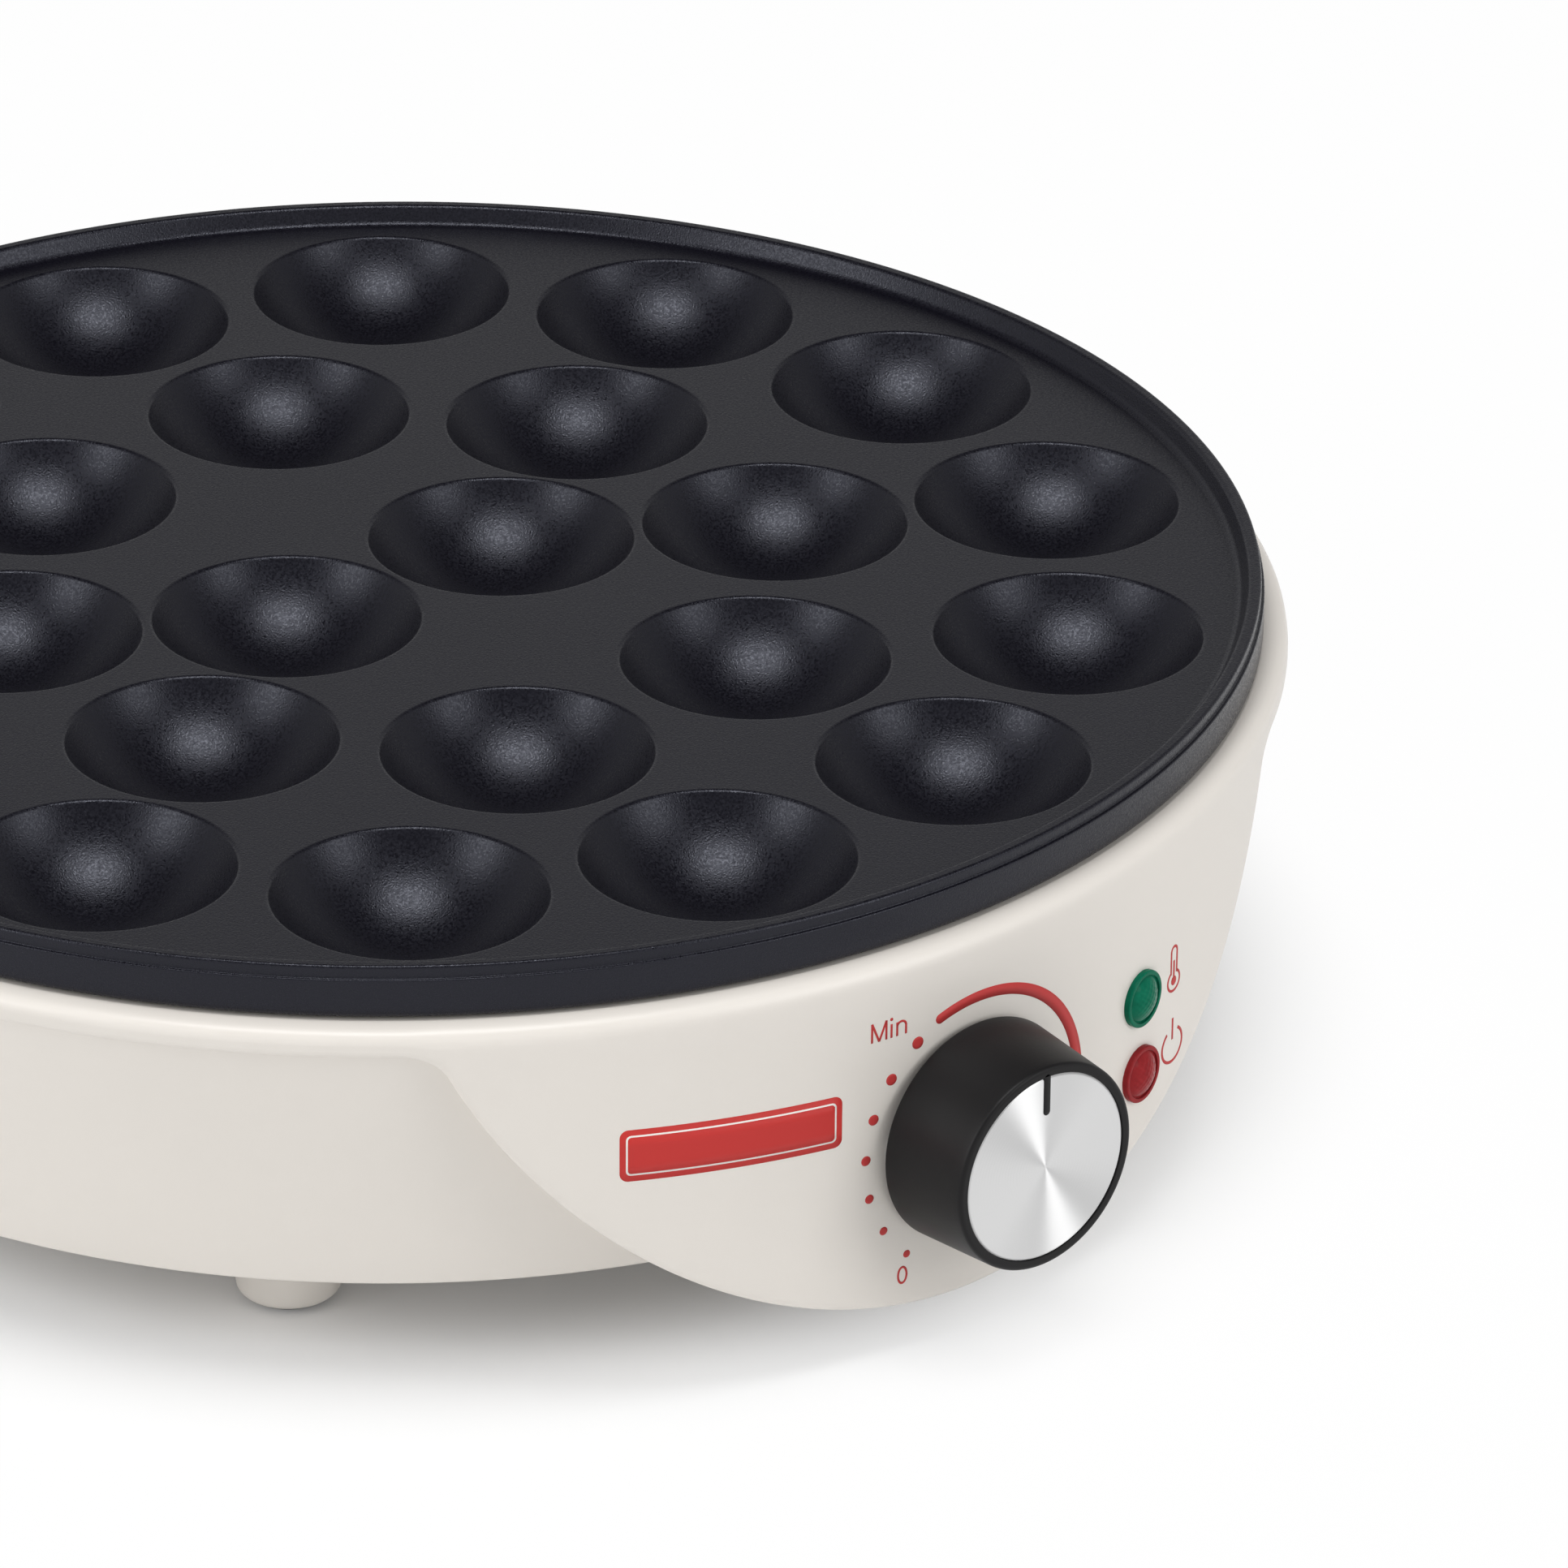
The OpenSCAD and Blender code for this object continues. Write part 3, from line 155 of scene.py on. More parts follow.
@dataclass
class Surface:
    """Points and faces of a piece before it becomes a mesh.

    Attributes:
        points: Places of the points, one to a row.
        quads: Corner indexes of the four-sided faces.
        tris: Corner indexes of the three-sided faces.
    """

    points: Array
    quads: Array = field(default_factory=lambda: np.empty((0, 4), int))
    tris: Array = field(default_factory=lambda: np.empty((0, 3), int))

    @classmethod
    def sheet(cls, grid: Array, around: bool = False) -> "Surface":
        """Joins a grid of points, shape (rows, columns, 3), into a sheet, or a tube if it goes around."""
        return cls(grid.reshape(-1, 3), grid_quads(grid.shape[0], grid.shape[1], around))

    @classmethod
    def level(cls, grid: Array, around: bool = False, z: float = 0.0) -> "Surface":
        """Joins a grid of points (x, y), shape (rows, columns, 2), into a level sheet at height z."""
        return cls.sheet(np.concatenate([grid, np.full((*grid.shape[:2], 1), z)], -1), around)

    @classmethod
    def turned(cls, outline: Array, segments: int) -> "Surface":
        """Turns an outline about the Z axis: (r, z) goes to (r cos a, r sin a, z) at each angle a.

        Args:
            outline: Points (r, z). One that runs counterclockwise, r to the right and z up, faces outwards.
            segments: Number of angles.

        Returns:
            The surface of revolution.
        """
        flat = outline[:, None, :1] * circle(segments)
        height = np.broadcast_to(outline[:, None, 1:], flat[..., :1].shape)
        return cls.sheet(np.concatenate([flat, height], -1), around=True)

    @classmethod
    def lathe(
        cls, corners: Sequence[Pair], reach_mm: Sequence[float], segments: int, steps: int = 6,
        along: Sequence[float] = STRAIGHT,
    ) -> "Surface":
        """Turns an outline with rounded corners about the Z axis.

        Args:
            corners: Corners (r, z) of the outline.
            reach_mm: Reach of the rounding at each corner, in millimetres.
            segments: Number of angles.
            steps: Points along each rounding.
            along: Places of the extra points on a straight, from 0 to 1.

        Returns:
            The surface of revolution.
        """
        return cls.turned(rounded(np.array(corners), np.array(reach_mm) * MM, steps, along), segments)

    @classmethod
    def joined(cls, parts: Sequence["Surface"]) -> "Surface":
        """Puts several surfaces into one.

        Args:
            parts: The surfaces.

        Returns:
            One surface with all their points and faces.
        """
        starts = np.cumsum([0] + [len(part.points) for part in parts[:-1]])
        return cls(
            np.concatenate([part.points for part in parts]),
            np.concatenate([part.quads + start for part, start in zip(parts, starts)]),
            np.concatenate([part.tris + start for part, start in zip(parts, starts)]),
        )

    def placed(self, matrix: Matrix) -> "Surface":
        """Carries the surface to the place that a matrix of four rows gives."""
        rows = np.array(matrix)
        return Surface(self.points @ rows[:3, :3].T + rows[:3, 3], self.quads, self.tris)

    def moved(self, x: float, y: float, z: float) -> "Surface":
        """Carries the surface along the three axes."""
        return Surface(self.points + np.array([x, y, z]), self.quads, self.tris)

    def welded(self) -> "Surface":
        """Merges points that share a place, and drops or shortens faces that lose a side.

        Returns:
            The merged surface.
        """
        keys = np.round(self.points / WELD).astype(np.int64)
        _, first, name = np.unique(keys, axis=0, return_index=True, return_inverse=True)
        name = name.reshape(-1)
        quads, tris = name[self.quads], name[self.tris]
        lost = quads == np.roll(quads, -1, 1)
        pinched = lost.sum(1) == 1
        tris = np.concatenate([tris, quads[pinched][~lost[pinched]].reshape(-1, 3)])
        tris = tris[(tris != np.roll(tris, -1, 1)).all(1)]
        return Surface(self.points[first], quads[~lost.any(1)], tris)

    def build(self, name: str) -> bpy.types.Object:
        """Makes a smooth-shaded object at the origin.

        Args:
            name: Name of the piece.

        Returns:
            The object, linked to the scene.
        """
        merged = self.welded()
        mesh = bpy.data.meshes.new(name)
        mesh.from_pydata(merged.points.tolist(), [], merged.quads.tolist() + merged.tris.tolist())
        mesh.shade_smooth()
        piece = bpy.data.objects.new(name, mesh)
        bpy.context.scene.collection.objects.link(piece)
        return piece


def node(tree: bpy.types.NodeTree, kind: str, **values: object) -> bpy.types.Node:
    """Adds a shader node.

    Args:
        tree: Tree that takes the node.
        kind: Node type without its prefix.
        values: Properties of the node.

    Returns:
        The node.
    """
    made = tree.nodes.new("ShaderNode" + kind)
    for key, value in values.items():
        setattr(made, key, value)
    return made


def link(tree: bpy.types.NodeTree, *pairs: tuple[bpy.types.NodeSocket, bpy.types.NodeSocket]) -> None:
    """Joins pairs of sockets, each an output and an input."""
    for start, end in pairs:
        tree.links.new(start, end)


def preset(made: bpy.types.Node, **values: object) -> None:
    """Sets sockets of a node by their names, with _ for a blank."""
    for name, value in values.items():
        made.inputs[name.replace("_", " ")].default_value = value


class SkinGroup:
    """Node group for a moulded, cast or painted skin: soft patches of colour and a fine grain."""

    NAME = "moulded_skin"
    GIVEN = ("Change", "Patch Scale", "Roughness", "Spread", "Grain Scale")
    MADE = ("Roughness", "Height")

    @classmethod
    def tree(cls) -> bpy.types.NodeTree:
        """Gives the group, and builds it at its first use.

        Colour is the given colour times 1 + change (2 patch - 1), roughness is the given one plus spread
        (2 patch - 1), and height is the grain, where patch and grain are noises of the given scales.

        Returns:
            The node group.
        """
        if cls.NAME in bpy.data.node_groups:
            return bpy.data.node_groups[cls.NAME]
        tree = bpy.data.node_groups.new(cls.NAME, "ShaderNodeTree")
        sockets = [("Colour", "INPUT", "Color"), *((name, "INPUT", "Float") for name in cls.GIVEN)]
        sockets += [("Colour", "OUTPUT", "Color"), *((name, "OUTPUT", "Float") for name in cls.MADE)]
        for name, side, kind in sockets:
            tree.interface.new_socket(name=name, in_out=side, socket_type="NodeSocket" + kind)
        given = tree.nodes.new("NodeGroupInput")
        made = tree.nodes.new("NodeGroupOutput")
        place = node(tree, "TexCoord")
        patch = node(tree, "TexNoise")
        preset(patch, Detail=4.0)
        grain = node(tree, "TexNoise")
        preset(grain, Detail=1.0)
        swing = node(tree, "MapRange", clamp=False)
        preset(swing, To_Min=-1.0)
        gain = node(tree, "Math", operation="MULTIPLY_ADD")
        gain.inputs[2].default_value = 1.0
        tint = node(tree, "VectorMath", operation="SCALE")
        rough = node(tree, "Math", operation="MULTIPLY_ADD", use_clamp=True)
        link(
            tree,
            (place.outputs["Object"], patch.inputs["Vector"]),
            (place.outputs["Object"], grain.inputs["Vector"]),
            (given.outputs["Patch Scale"], patch.inputs["Scale"]),
            (given.outputs["Grain Scale"], grain.inputs["Scale"]),
            (patch.outputs["Fac"], swing.inputs["Value"]),
            (swing.outputs["Result"], gain.inputs[0]),
            (given.outputs["Change"], gain.inputs[1]),
            (given.outputs["Colour"], tint.inputs[0]),
            (gain.outputs[0], tint.inputs["Scale"]),
            (swing.outputs["Result"], rough.inputs[0]),
            (given.outputs["Spread"], rough.inputs[1]),
            (given.outputs["Roughness"], rough.inputs[2]),
            (tint.outputs["Vector"], made.inputs["Colour"]),
            (rough.outputs[0], made.inputs["Roughness"]),
            (grain.outputs["Fac"], made.inputs["Height"]),
        )
        return tree


@dataclass(frozen=True)
class Finish:
    """A finish whose colour, gloss and grain vary a little over the surface.

    Attributes:
        name: Name of the finish.
        colour: Base colour, linear.
        roughness: Mean roughness.
        metallic: 1 for bare metal.
        specular: Strength of the gloss.
        tint: Colour of the gloss.
        change: Share by which the colour varies.
        spread: Amount by which the roughness varies.
        patch_scale: Patches of colour to a metre.
        grain_scale: Grains to a metre.
        grain_depth: Depth of the grain in metres.
        coat: Strength of a clear coat.
        anisotropy: Stretch of the gloss across a turned surface.
    """

    name: str
    colour: Colour
    roughness: float
    metallic: float = 0.0
    specular: float = 0.5
    tint: Colour = (1.0, 1.0, 1.0)
    change: float = 0.03
    spread: float = 0.03
    patch_scale: float = 45.0
    grain_scale: float = 2600.0
    grain_depth: float = 0.02 * MM
    coat: float = 0.0
    anisotropy: float = 0.0

    def material(self) -> bpy.types.Material:
        """Gives the material, and builds it at its first use.

        Returns:
            The material.
        """
        title = self.name + "_finish"
        if title in bpy.data.materials:
            return bpy.data.materials[title]
        made = bpy.data.materials.new(title)
        made.use_nodes = True
        tree = made.node_tree
        shader = tree.nodes["Principled BSDF"]
        preset(
            shader, Metallic=self.metallic, Specular_IOR_Level=self.specular, Specular_Tint=(*self.tint, 1.0),
            Coat_Weight=self.coat, Coat_Roughness=COAT_ROUGHNESS, Anisotropic=self.anisotropy,
            Anisotropic_Rotation=QUARTER_TURN,
        )
        skin = node(tree, "Group", node_tree=SkinGroup.tree())
        preset(
            skin, Colour=(*self.colour, 1.0), Change=self.change, Patch_Scale=self.patch_scale,
            Roughness=self.roughness, Spread=self.spread, Grain_Scale=self.grain_scale,
        )
        bump = node(tree, "Bump")
        preset(bump, Distance=self.grain_depth)
        link(
            tree,
            (skin.outputs["Colour"], shader.inputs["Base Color"]),
            (skin.outputs["Roughness"], shader.inputs["Roughness"]),
            (self.relief(tree, skin), bump.inputs["Height"]),
            (bump.outputs["Normal"], shader.inputs["Normal"]),
        )
        if self.anisotropy:
            tangent = node(tree, "Tangent", direction_type="RADIAL", axis="Y")
            link(tree, (tangent.outputs["Tangent"], shader.inputs["Tangent"]))
        return made

    def relief(self, tree: bpy.types.NodeTree, skin: bpy.types.Node) -> bpy.types.NodeSocket:
        """Gives the socket with the height of the surface's relief, here the grain of the skin."""
        return skin.outputs["Height"]

    def dress(self, *pieces: bpy.types.Object) -> None:
        """Puts the material on pieces, in place of what they have."""
        for piece in pieces:
            piece.data.materials.clear()
            piece.data.materials.append(self.material())


@dataclass(frozen=True)
class TurnedFinish(Finish):
    """A finish with fine rings, as a lathe leaves them, about an axis along Y.

    Attributes:
        axis_z: Height of the axis.
        pitch: Distance between the rings.
    """

    axis_z: float = 0.0
    pitch: float = 0.6 * MM

    def relief(self, tree: bpy.types.NodeTree, skin: bpy.types.Node) -> bpy.types.NodeSocket:
        """Gives the height of the rings, a sine of the distance from the axis.

        Args:
            tree: Tree of the material.
            skin: Group node of the skin, whose grain the rings stand in for; not used.

        Returns:
            The socket with the height.
        """
        place = node(tree, "TexCoord")
        shift = node(tree, "VectorMath", operation="SUBTRACT")
        shift.inputs[1].default_value = (0.0, 0.0, self.axis_z)
        rings = node(tree, "TexWave", wave_type="RINGS", rings_direction="Y")
        preset(rings, Scale=np.pi / 10 / self.pitch)
        link(
            tree,
            (place.outputs["Object"], shift.inputs[0]),
            (shift.outputs["Vector"], rings.inputs["Vector"]),
        )
        return rings.outputs["Fac"]


def metal(name: str, colour: Colour, roughness: float, change: float, spread: float = 0.08) -> Finish:
    """Gives the finish of bare metal with the given colour and gloss."""
    return Finish(name, colour, roughness, metallic=1.0, change=change, spread=spread)


def print_ink(name: str, colour: Colour, roughness: float) -> Finish:
    """Gives the finish of printed ink or foil with the given colour and gloss."""
    return Finish(name, colour, roughness, specular=0.15, change=0.05, grain_depth=0.004 * MM)


def lens_tint(name: str, colour: Colour) -> Finish:
    """Gives the finish of a coloured lamp lens."""
    return Finish(name, colour, 0.12, specular=0.05, change=0.3, patch_scale=600.0, grain_depth=0.002 * MM)


PLATE_COAT = Finish(
    "nonstick_coat", (0.0040, 0.0036, 0.0068), 0.32, specular=0.36, tint=(0.83, 0.86, 1.0), change=0.6,
    spread=0.36, patch_scale=2400.0, grain_scale=3600.0, grain_depth=0.05 * MM,
)
CREAM = Finish(
    "cream_moulding", (0.745, 0.705, 0.655), 0.38, change=0.012, spread=0.04, grain_depth=0.006 * MM,
)
PAD_RUBBER = Finish("pad_rubber", (0.045, 0.045, 0.046), 0.75, change=0.15, grain_depth=0.03 * MM)
KNOB_BLACK = Finish(
    "knob_moulding", (0.0085, 0.0080, 0.0085), 0.42, specular=0.18, change=0.1, grain_depth=0.01 * MM,
)
SPUN = TurnedFinish(
    "spun_face", (0.80, 0.80, 0.80), 0.44, metallic=1.0, change=0.02, spread=0.01, anisotropy=0.96,
    grain_depth=0.004 * MM,
)
PRINT_RED = print_ink("red_print", (0.49, 0.046, 0.045), 0.45)
LABEL_RED = print_ink("red_label", (0.52, 0.039, 0.035), 0.40)
LABEL_PALE = Finish("pale_line", (0.80, 0.76, 0.72), 0.40, change=0.02, grain_depth=0.004 * MM)
GREEN_LENS = lens_tint("green_lens", (0.004, 0.135, 0.075))
RED_LENS = lens_tint("red_lens", (0.28, 0.022, 0.025))
GLAND = Finish("gland_rubber", (0.03, 0.03, 0.031), 0.6, change=0.12, grain_depth=0.02 * MM)

INNER_FINISHES = {
    "nonstick_plate": PLATE_COAT,
    "cream_plastic": CREAM,
    "pad_rubber": PAD_RUBBER,
    "knob_plastic": KNOB_BLACK,
    "spun_metal": SPUN,
    "green_lens": GREEN_LENS,
    "red_lens": RED_LENS,
    "gland_rubber": GLAND,
    "screw_steel": metal("zinc_screws", (0.52, 0.53, 0.55), 0.32, 0.08),
    "spring_steel": metal("spring_steel", (0.42, 0.42, 0.43), 0.28, 0.06),
    "brown_phenolic": Finish("brown_phenolic", (0.09, 0.04, 0.022), 0.42, change=0.2, patch_scale=220.0),
    "brass_parts": metal("brass_parts", (0.62, 0.44, 0.17), 0.30, 0.08),
    "white_ceramic": Finish("white_ceramic", (0.72, 0.71, 0.67), 0.35, change=0.03, coat=0.2),
    "element_steel": metal("element_sheath", (0.16, 0.155, 0.15), 0.48, 0.25, spread=0.1),
    "shield_steel": metal("shield_steel", (0.50, 0.51, 0.52), 0.36, 0.06),
    "copper_tube": metal("copper_tube", (0.62, 0.27, 0.15), 0.32, 0.1),
    "brown_lead": Finish("brown_lead", (0.10, 0.042, 0.02), 0.5, change=0.06),
    "black_lead": Finish("black_lead", (0.02, 0.02, 0.02), 0.5, change=0.06),
    "blue_lead": Finish("blue_lead", (0.02, 0.09, 0.36), 0.5, change=0.06),
    "green_lead": Finish("green_lead", (0.05, 0.26, 0.06), 0.5, change=0.06),
    "white_lead": Finish("white_lead", (0.72, 0.72, 0.70), 0.5, change=0.03),
}


def thicken(piece: bpy.types.Object, depth: float) -> bpy.types.Object:
    """Gives a sheet a wall of the given depth behind its face.

    Args:
        piece: The sheet.
        depth: Thickness of the wall.

    Returns:
        The same piece.
    """
    shell = piece.modifiers.new("shell", "SOLIDIFY")
    shell.thickness = depth
    shell.offset = -1.0
    return piece


def settle(
    piece: bpy.types.Object, body: Body, slot: Optional[Slot], finish: Finish, *stands_for: str,
) -> None:
    """Dresses a piece, seats it on its body and reports it.

    Args:
        piece: The new piece.
        body: Body that it rides on.
        slot: Slot of the record that it belongs to, if one has it; not used.
        finish: Finish to put on it.
        stands_for: Nodes that the piece stands for.
    """
    finish.dress(piece)
    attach(piece, body.value)
    if stands_for:
        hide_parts(*stands_for)
    LOG.info("%s: %d faces on %s", piece.name, len(piece.data.polygons), body.value)


@dataclass
class CookingPlate:
    """Round cast plate with rings of cups, a raised lip and a skirt.

    Attributes:
        axis_y: Place of the upright axis along Y.
        radius: Radius of the skirt.
        lip_z: Height of the lip's top.
        lip_rise: Height of the lip above the flat.
        lip_width: Width of the lip's top.
        lip_slope: Run of the lip's inner slope.
        edge_step: How far the lip stands in from the skirt.
        edge_drop: How far the step is below the lip's top.
        skirt_drop: How far the skirt's lower edge is below the lip's top.
        skirt_turn: Width of the skirt's underside.
        inside: Width of the flat ring that belongs to the lip.
        cup_r: Radius of a cup at the flat.
        cup_depth: Depth of a cup.
        web: Width of the flat ring that belongs to a cup.
        rim_reach: Reach of the rounding at a cup's rim.
        rings: Number of cups, ring radius and first angle in degrees, of each ring.
        cup_rows: Rows of points down a cup.
        cup_segments: Segments round a cup.
        lip_segments: Segments round the plate.
        skin: Thickness of the shell under the surface.
    """

    axis_y: float
    radius: float
    lip_z: float
    lip_rise: float = 3.1 * MM
    lip_width: float = 2.0 * MM
    lip_slope: float = 1.4 * MM
    edge_step: float = 0.5 * MM
    edge_drop: float = 2.1 * MM
    skirt_drop: float = 8.5 * MM
    skirt_turn: float = 2.3 * MM
    inside: float = 1.2 * MM
    cup_r: float = 21.75 * MM
    cup_depth: float = 13.0 * MM
    web: float = 0.6 * MM
    rim_reach: float = 0.5 * MM
    rings: tuple = ((2, 22.5 * MM, 1.75), (8, 64.853 * MM, 24.25), (14, 109.953 * MM, 1.75))
    cup_rows: int = 12
    cup_segments: int = 60
    lip_segments: int = 240
    skin: float = 0.6 * MM

    @classmethod
    def from_frame(cls) -> "CookingPlate":
        """Takes the plate's sizes from its node."""
        low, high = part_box("cooking_plate")
        return cls(axis_y=(low.y + high.y) / 2, radius=(high.x - low.x) / 2, lip_z=high.z)

    @property
    def flat_z(self) -> float:
        """Height of the flat."""
        return self.lip_z - self.lip_rise

    @property
    def flat_r(self) -> float:
        """Radius at the foot of the lip's inner slope."""
        return self.radius - self.edge_step - self.lip_width - self.lip_slope

    def centres(self) -> Array:
        """Gives the middles of the cups about the plate's axis: r (cos a, sin a), evenly round each ring.

        Returns:
            Points, one cup to a row.
        """
        rows = []
        for count, ring_r, first in self.rings:
            c, s = np.cos(np.radians(first)), np.sin(np.radians(first))
            rows.append(circle(count) @ np.array([[c, s], [-s, c]]) * ring_r)
        return np.concatenate(rows)

    def cup(self) -> Surface:
        """Makes the bowl of one cup with its rim, about its own axis and below the flat.

        The bowl is part of a ball of radius R through the rim and the lowest point: at angle a from straight
        down its outline is at (R sin a, R (1 - cos a) - depth). The rim is a rounded corner.

        Returns:
            The bowl.
        """
        ball = (self.cup_r**2 + self.cup_depth**2) / (2 * self.cup_depth)
        start = np.arcsin(self.cup_r / ball) - 1.1 * self.rim_reach / ball
        angle = np.linspace(start, 0, self.cup_rows)
        bowl = np.stack([ball * np.sin(angle), ball * (1 - np.cos(angle)) - self.cup_depth], -1)
        corners = np.array([[self.cup_r + self.web, 0.0], [self.cup_r, 0.0], bowl[0]])
        edge = rounded(corners, np.array([0.0, self.rim_reach, 0.0]), along=())
        return Surface.turned(np.concatenate([edge[:-1], bowl]), self.cup_segments)

    def rim(self) -> Surface:
        """Makes the skirt and lip: an outline with rounded corners, turned about the axis.

        Returns:
            The rim, from under the skirt to the flat inside the lip.
        """
        skirt_z, step_z = self.lip_z - self.skirt_drop, self.lip_z - self.edge_drop
        lip_out = self.radius - self.edge_step
        corners = [
            (self.radius - self.skirt_turn, skirt_z), (self.radius, skirt_z), (self.radius, step_z),
            (lip_out, step_z), (lip_out, self.lip_z), (lip_out - self.lip_width, self.lip_z),
            (self.flat_r, self.flat_z), (self.flat_r - self.inside, self.flat_z),
        ]
        return Surface.lathe(corners, (0.0, 0.8, 0.24, 0.2, 0.5, 0.5, 0.8, 0.0), self.lip_segments, steps=4)

    def flat(self) -> Surface:
        """Fills the flat between the cups.

        The outer rings of the cups and the circle inside the lip are triangulated, and triangles whose middle
        lies inside a cup are left out.

        Returns:
            The flat, at height 0.
        """
        cup_r = self.cup_r + self.web
        loops = np.concatenate([
            (self.centres()[:, None, :] + cup_r * circle(self.cup_segments)).reshape(-1, 2),
            (self.flat_r - self.inside) * circle(self.lip_segments),
        ])
        cups = np.arange(len(self.centres()) * self.cup_segments)
        after = cups // self.cup_segments * self.cup_segments + (cups + 1) % self.cup_segments
        lip = np.arange(self.lip_segments)
        edges = np.concatenate([
            np.stack([cups, after], -1),
            np.stack([lip, (lip + 1) % self.lip_segments], -1) + len(cups),
        ])
        found = geometry.delaunay_2d_cdt([Vector(p) for p in loops.tolist()], edges.tolist(), [], 0, 1e-9)
        tris = np.array(found[2])
        corner = loops[tris]
        side, other = corner[:, 1] - corner[:, 0], corner[:, 2] - corner[:, 0]
        area = side[:, 0] * other[:, 1] - side[:, 1] * other[:, 0]
        tris[area < 0] = tris[area < 0][:, ::-1]
        away = np.linalg.norm(corner.mean(1)[:, None] - self.centres(), axis=-1).min(1)
        tris = tris[away > cup_r * (np.cos(np.pi / self.cup_segments) - 0.0005)]
        return Surface(np.concatenate([loops, np.zeros((len(loops), 1))], 1), tris=tris)

    def build(self) -> None:
        """Joins rim, flat and cups into one shell and puts it in place of the plate's node."""
        cup = self.cup()
        cups = [cup.moved(x, y, self.flat_z) for x, y in self.centres().tolist()]
        whole = Surface.joined([self.rim(), self.flat().moved(0.0, 0.0, self.flat_z), *cups])
        piece = whole.moved(0.0, self.axis_y, 0.0).build("plate_surface")
        settle(thicken(piece, self.skin), Body.CHASSIS, Slot.PLATE, PLATE_COAT, "cooking_plate")


